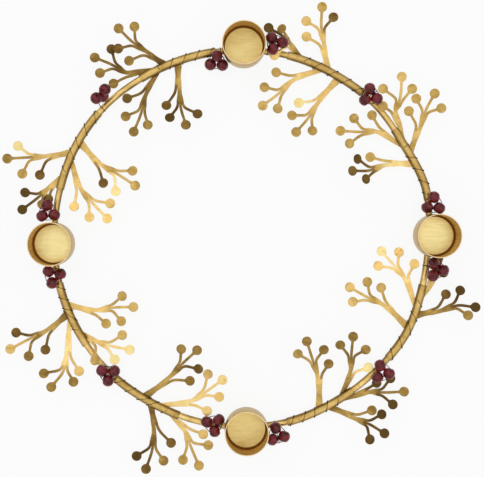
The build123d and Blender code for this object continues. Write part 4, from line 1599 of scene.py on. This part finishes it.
@dataclass
class BerryClusters:
    """The glass berries, three to a cluster, and the wires that carry them."""

    radius: float = 3.1 * MM
    cut_share: float = 1.06
    length_share: float = 0.88
    hole: float = 0.5 * MM
    facets: int = 10
    rings: int = 7
    facet_edge: float = 0.1 * MM
    edge_steps: int = 2
    pitch: float = 6.4 * MM
    seat_gap: float = 0.15 * MM
    cup_gap: float = 0.15 * MM
    wire_radius: float = 0.2 * MM
    tie_gap: float = 0.05 * MM
    straight_share: float = 0.7
    mouth_share: float = 0.92
    leg_steps: int = 8
    flattest_leg: float = 60
    smooth_angle: float = 22

    def shape(self) -> bpy.types.Object:
        """Cut one berry: a bead with flat facets, a hole through it and softened edges.

        Returns:
            The berry at the origin, with its hole upright.
        """
        half = self.radius * self.length_share
        leave_all()
        bpy.ops.mesh.primitive_uv_sphere_add(segments=self.facets, ring_count=self.rings,
                                             radius=self.radius * self.cut_share)
        berry = bpy.context.object
        bpy.ops.object.mode_set(mode="EDIT")
        work = edit_mesh()
        levels = sorted({round(vert.co.z, DIGITS) for vert in work.verts})
        for vert in work.verts:
            vert.select = round(vert.co.z, DIGITS) in levels[1::2]
        work.select_flush(True)
        bmesh.update_edit_mesh(bpy.context.edit_object.data)
        bpy.ops.transform.rotate(value=math.pi / self.facets, orient_axis="Z", center_override=(0, 0, 0))
        bpy.ops.mesh.select_all(action="SELECT")
        bpy.ops.mesh.quads_convert_to_tris()
        for end in (1, -1):
            bpy.ops.mesh.select_all(action="SELECT")
            bpy.ops.mesh.bisect(plane_co=(0, 0, half * end), plane_no=(0, 0, end), use_fill=True,
                                clear_outer=True, threshold=NEAR)
        bpy.ops.mesh.select_mode(type="FACE")
        bpy.ops.mesh.select_all(action="DESELECT")
        self.select_ends(half)
        rims = [vert.co for vert in edit_mesh().verts if abs(vert.co.z) > half - NEAR]
        bpy.ops.mesh.inset(thickness=min(math.hypot(rim.x, rim.y) for rim in rims) - self.hole)
        bpy.ops.mesh.bridge_edge_loops()
        bpy.ops.mesh.select_mode(type="EDGE")
        bpy.ops.mesh.select_all(action="SELECT")
        bpy.ops.mesh.bevel(offset=self.facet_edge, segments=self.edge_steps, affect="EDGES")
        bpy.ops.object.mode_set(mode="OBJECT")
        return berry

    def select_ends(self, half: float) -> None:
        """Select the two flat ends of the berry in edit mode.

        Args:
            half: Half the berry's length.
        """
        work = edit_mesh()
        for face in work.faces:
            if all(abs(vert.co.z) > half - NEAR for vert in face.verts):
                face.select_set(True)
        bmesh.update_edit_mesh(bpy.context.edit_object.data)

    def resting_reach(self, angle: float) -> float:
        """Find how far from the rod's middle a berry finds something to lie on.

        Args:
            angle: Where on the ring the berry is, in degrees.

        Returns:
            The distance of the stem's binding there, or of a tie on the bare rod.
        """
        margin = PATH.turn(self.radius)
        for butt, tip, _ in SPRIG_SHARES.values():
            if butt - margin < angle < tip + margin:
                return octagon_reach(SHEET.stem_outside + BINDING.gap + 2 * BINDING.radius)
        return octagon_reach(RingRod.radius + self.tie_gap + 2 * self.wire_radius)

    def resting_height(self, centre: Vector, spokes: list[tuple[Vector, Vector]]) -> float:
        """Find how high a cluster's middle has to be for its berries to clear the rod and the table.

        Args:
            centre: The middle's place on the plan.
            spokes: The direction of each berry from the middle, and that of its hole.

        Returns:
            The height.
        """
        rests = []
        for spoke, _ in spokes:
            berry = centre + spoke * (self.pitch / math.sqrt(3))
            angle = polar_angle(berry)
            spot = PATH.spot(angle)
            offset = abs(flat(berry - spot.origin).dot(spot.outward))
            clearance = self.resting_reach(angle) + self.seat_gap + self.radius
            on_rod = PATH.height + math.sqrt(max(clearance**2 - offset**2, 0))
            rests.append(max(on_rod, self.radius + self.seat_gap) - berry.z)
        return max(rests)

    def clear_of_cups(self, centre: Vector, berries: list[Vector], ends: list[Vector]) -> Vector:
        """Find how far to move a cluster away from the cup beside it.

        Args:
            centre: The cluster's middle.
            berries: The berries' middles.
            ends: The corners of the wire where it leaves the berries.

        Returns:
            The least move that brings its berries and wire clear of the cup.
        """
        rounds = [(point, self.radius) for point in berries]
        rounds += [(point, 2 * self.wire_radius) for point in ends]
        moves = [Vector((0, 0, 0))]
        for name in CUP_NAMES:
            lowest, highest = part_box(f"candle_cup_{name}")
            cup = flat(middle(lowest, highest))
            away = heading_between(cup, centre)
            for point, radius in rounds:
                offset = flat(point - cup)
                need = (highest.x - lowest.x) / 2 + self.cup_gap + radius
                if offset.length < need:
                    along = offset.dot(away)
                    moves.append(away * (math.sqrt(need**2 - offset.length**2 + along**2) - along))
        return max(moves, key=lambda move: move.length)

    def planes(self, shares: tuple, spin: float, tilt: float, downhill: float,
               rise_share: float) -> list[tuple[Vector, Vector, Vector]]:
        """Set out a cluster's three berries, clear of the rod, the cups and the table.

        Args:
            shares: The cluster's middle on the plan.
            spin: The turn of its triangle, in degrees.
            tilt: How far it is tilted.
            downhill: The direction in which the tilt goes down.
            rise_share: How far it stands above the ring, as a share of a berry.

        Returns:
            Each berry's middle, the direction of its hole, and the direction away from the others.
        """
        tip = math.radians(tilt)
        down = Vector((math.cos(math.radians(downhill)), math.sin(math.radians(downhill)), 0))
        forward = down * math.cos(tip) - UP * math.sin(tip)
        level = across(down)
        spokes = []
        for berry in range(3):
            turn = math.radians(spin + 360 * berry / 3 - downhill)
            spokes.append((forward * math.cos(turn) + level * math.sin(turn),
                           level * math.cos(turn) - forward * math.sin(turn)))
        rise = 2 * self.radius * rise_share
        base = PATH.place(shares)
        base = flat(PATH.in_sight(base, self.resting_height(base, spokes) + rise))
        reach = self.pitch / math.sqrt(3)
        berries = [base + spoke * reach for spoke, _ in spokes]
        ends = [berry + hole * (self.radius * end)
                for berry, (_, hole) in zip(berries, spokes)
                for end in (-1, 1)]
        base += self.clear_of_cups(base, berries, ends)
        base += UP * (self.resting_height(base, spokes) + rise)
        return [(base + spoke * reach, hole, spoke) for spoke, hole in spokes]

    def fouls(self, start: Vector, end: Vector, planes: list, spot: Spot) -> bool:
        """Find whether a straight leg of wire would cut a berry, or meet the tie too flat.

        Args:
            start: Where the leg leaves the loop.
            end: Where it meets the tie.
            planes: Each berry's middle, the direction of its hole, and the direction outwards.
            spot: The place on the rod that is tied.

        Returns:
            Whether it would.
        """
        steps = [start.lerp(end, step / self.leg_steps) for step in range(self.leg_steps + 1)]
        nearest = min((step - plane[0]).length for step in steps for plane in planes)
        rise = (start - end).normalized().dot((end - spot.origin).normalized())
        too_flat = rise < math.cos(math.radians(self.flattest_leg))
        return too_flat or nearest < self.radius + 2 * self.wire_radius

    def thread(self, name: str, planes: list, lead_share: float, finish: bpy.types.Material) -> None:
        """Make a cluster's wire: a loop through its berries, a leg down to the rod and a tie round it.

        Args:
            name: The cluster's name.
            planes: Each berry's middle, the direction of its hole, and the direction outwards.
            lead_share: How far along the ring from the cluster it is tied, as a share of a berry.
            finish: The wire's finish.
        """
        cluster = (planes[0][0] + planes[1][0] + planes[2][0]) / 3
        loop, ends = [], []
        for centre, hole, _ in planes:
            ends += [centre - hole * self.radius, centre + hole * self.radius]
            for part in (-self.mouth_share, -self.straight_share, self.straight_share, self.mouth_share):
                loop.append(centre + hole * (self.radius * part))
        spot = PATH.spot(polar_angle(cluster) + PATH.turn(2 * self.radius * lead_share))
        apothem = RingRod.radius + self.tie_gap + self.wire_radius
        tie = [spot.at(*octagon_corner(apothem, step)) for step in range(8)]
        links = [middle(ends[index - 1], ends[index]) for index in (0, 2, 4)]
        sides = [middle(tie[step - 1], tie[step]) for step in range(8)]
        legs = [(link, side) for link in links for side in sides]
        leg = min(legs, key=lambda leg: (self.fouls(*leg, planes, spot), (leg[0] - leg[1]).length))
        runs = [(loop, True), (tie, True), ([leg[0], middle(*leg), leg[1]], False)]
        piece = wire(f"berry_wire_{name}", runs, self.wire_radius)
        finish_piece(piece, f"berry_wire_{name}", finish)

    def build(self, glass: bpy.types.Material, metal: bpy.types.Material) -> None:
        """Make the berries and their wires and dress them.

        Args:
            glass: The berries' finish.
            metal: The wires' finish.
        """
        cut = self.shape()
        for name, (shares, spin, tilt, downhill, lead_share, rise_share) in BERRY_CLUSTER_SHARES.items():
            planes = self.planes(shares, spin, tilt, downhill, rise_share)
            berries = []
            for centre, hole, spoke in planes:
                berry = add_object(f"berries_{name}", cut.data.copy())
                turned = Matrix((spoke, hole.cross(spoke), hole)).transposed()
                berry.data.transform(Matrix.Translation(centre) @ turned.to_4x4())
                berries.append(berry)
            cluster = pick(*berries)
            bpy.ops.object.join()
            smooth(cluster, self.smooth_angle)
            finish_piece(cluster, f"berries_{name}", glass)
            self.thread(name, planes, lead_share, metal)
        bpy.data.objects.remove(cut)


@dataclass
class Studio:
    """The white table, the soft light and the camera straight above it.

    Places in the photograph are in pixels, to the right and down from its upper left corner.
    """

    floor_size: float = 6.0
    floor_gap: float = 0.05 * MM
    frame_px: tuple[int, int] = (484, 477)
    middle_px: tuple[float, float] = (242.0, 238.0)
    plumb_px: tuple[float, float] = (222.0, 222.0)
    ring_px: float = 189.0
    sensor: float = 36.0
    floor_glow_share: float = 0.89
    sky: tuple[float, float] = (0.5, 0.95)

    def lay_floor(self) -> None:
        """Lay the white table, which keeps the ring's soft shadow."""
        leave_all()
        bpy.ops.mesh.primitive_plane_add(size=self.floor_size, location=(0, 0, -self.floor_gap))
        floor = bpy.context.object
        floor.name = "floor"
        material = bpy.data.materials.new("white_table")
        material.use_nodes = True
        board = Board(material.node_tree)
        shader = board.tree.nodes["Principled BSDF"]
        board.fill(shader, {"Base Color": (0.85, 0.85, 0.85, 1), "Roughness": 0.9, "Specular IOR Level": 0})
        rays = board.add("ShaderNodeLightPath").outputs
        mirrored = board.maths("ADD", rays["Is Glossy Ray"], rays["Is Transmission Ray"])
        seen = board.maths("ADD", rays["Is Camera Ray"], mirrored)
        white = board.add("ShaderNodeEmission", {"Color": (1, 1, 1, 1), "Strength": 1}).outputs[0]
        share = board.maths("MULTIPLY", seen, self.floor_glow_share)
        mixed = board.add("ShaderNodeMixShader", {0: share, 1: shader.outputs[0], 2: white}).outputs[0]
        board.fill(board.tree.nodes["Material Output"], {"Surface": mixed})
        floor.data.materials.append(material)

    def light(self) -> None:
        """Set the pale sky, brighter overhead than low down, and the soft lamps."""
        world = bpy.data.worlds.new("studio")
        world.use_nodes = True
        bpy.context.scene.world = world
        board = Board(world.node_tree)
        direction = board.add("ShaderNodeTexCoord").outputs["Generated"]
        height = board.add("ShaderNodeSeparateXYZ", {0: direction}).outputs["Z"]
        level = board.spread(height, *self.sky, start=0.05, end=0.9)
        colour = board.add("ShaderNodeCombineColor", {0: level, 1: level, 2: level}).outputs[0]
        board.fill(board.tree.nodes["Background"], {"Color": colour})
        self.lamp("key", (-0.42, 0.5, 0.8), size=0.9, power=0.6)
        self.lamp("fill", (0.5, -0.35, 0.9), size=0.9, power=0.4)

    def lamp(self, name: str, place: tuple[float, float, float], size: float, power: float) -> None:
        """Hang a soft lamp that looks at the ring.

        Args:
            name: The lamp's name.
            place: Where it hangs.
            size: How wide it is.
            power: Its power in watts.
        """
        data = bpy.data.lights.new(name, "AREA")
        data.shape = "DISK"
        data.size = size
        data.energy = power
        lamp = add_object(name, data)
        lamp.location = place
        lamp.rotation_euler = (-Vector(place)).to_track_quat("-Z", "Y").to_euler()

    def hang_camera(self) -> None:
        """Hang the camera straight above the place that the photograph looks down on."""
        scale = PATH.radius / self.ring_px
        width, height = self.frame_px
        right, down = self.plumb_px
        data = bpy.data.cameras.new("camera")
        data.sensor_width = self.sensor
        data.lens = self.sensor * PATH.sight_height / (width * scale)
        data.shift_x = (width / 2 - right) / width
        data.shift_y = (down - height / 2) / width
        data.clip_start = 10 * MM
        data.clip_end = 100.0
        camera = add_object("camera", data)
        camera.location = ((right - self.middle_px[0]) * scale, (self.middle_px[1] - down) * scale,
                           PATH.height + PATH.sight_height)
        bpy.context.scene.camera = camera

    def build(self) -> None:
        """Set up the floor, the light and the camera."""
        self.lay_floor()
        self.light()
        self.hang_camera()
        bpy.context.scene.view_settings.view_transform = "Standard"


def main() -> None:
    """Build and dress every sub-assembly, then the studio."""
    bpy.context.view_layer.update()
    shared = SharedNodes()
    rod_brass = BrassFinish("rod_brass", unevenness=1.1, cloud_scale=130.0)
    # The sheet's edges are painted dark: painted shade along its rims.
    sprig_brass = BrassFinish("sprig_brass", unevenness=0.6, cloud_scale=150.0, edge_wear_and_shade=0.55,
                              edge=(118, 90, 44))
    # The binding wire is painted: its colour is a highlight along its top, and its darker colour paints
    # shade on its sides and where it passes under the rod.
    binding_wire = PlainMetalFinish("binding_wire", colour=(184, 150, 88), stain_and_shade=(52, 40, 22),
                                    polish=(0.35, 0.6), highlit_above=4.55 * MM)
    # The berry wire is painted dark red-brown, so that where it shows between the berries it reads as their
    # shade: painted shade.
    berry_wire = PlainMetalFinish("berry_wire", colour=(104, 62, 46), stain_and_shade=(64, 30, 26),
                                  polish=(0.35, 0.6))
    braze = PlainMetalFinish("braze", colour=(176, 148, 92), stain_and_shade=(96, 74, 42), polish=(0.4, 0.65))
    RingRod().build(rod_brass.material(shared))
    CandleCups().build(CupFinish().material(shared))
    dress_seats(braze.material(shared))
    sheet = sprig_brass.material(shared)
    binding = binding_wire.material(shared)
    for name, (butt, tip, rows) in SPRIG_SHARES.items():
        sprig = Sprig(name, butt, tip, rows)
        sprig.build(sheet)
        sprig.bind(binding)
    BerryClusters().build(GlassFinish().material(shared), berry_wire.material(shared))
    Studio().build()
    leave_all()


if __name__ == "__main__":
    main()
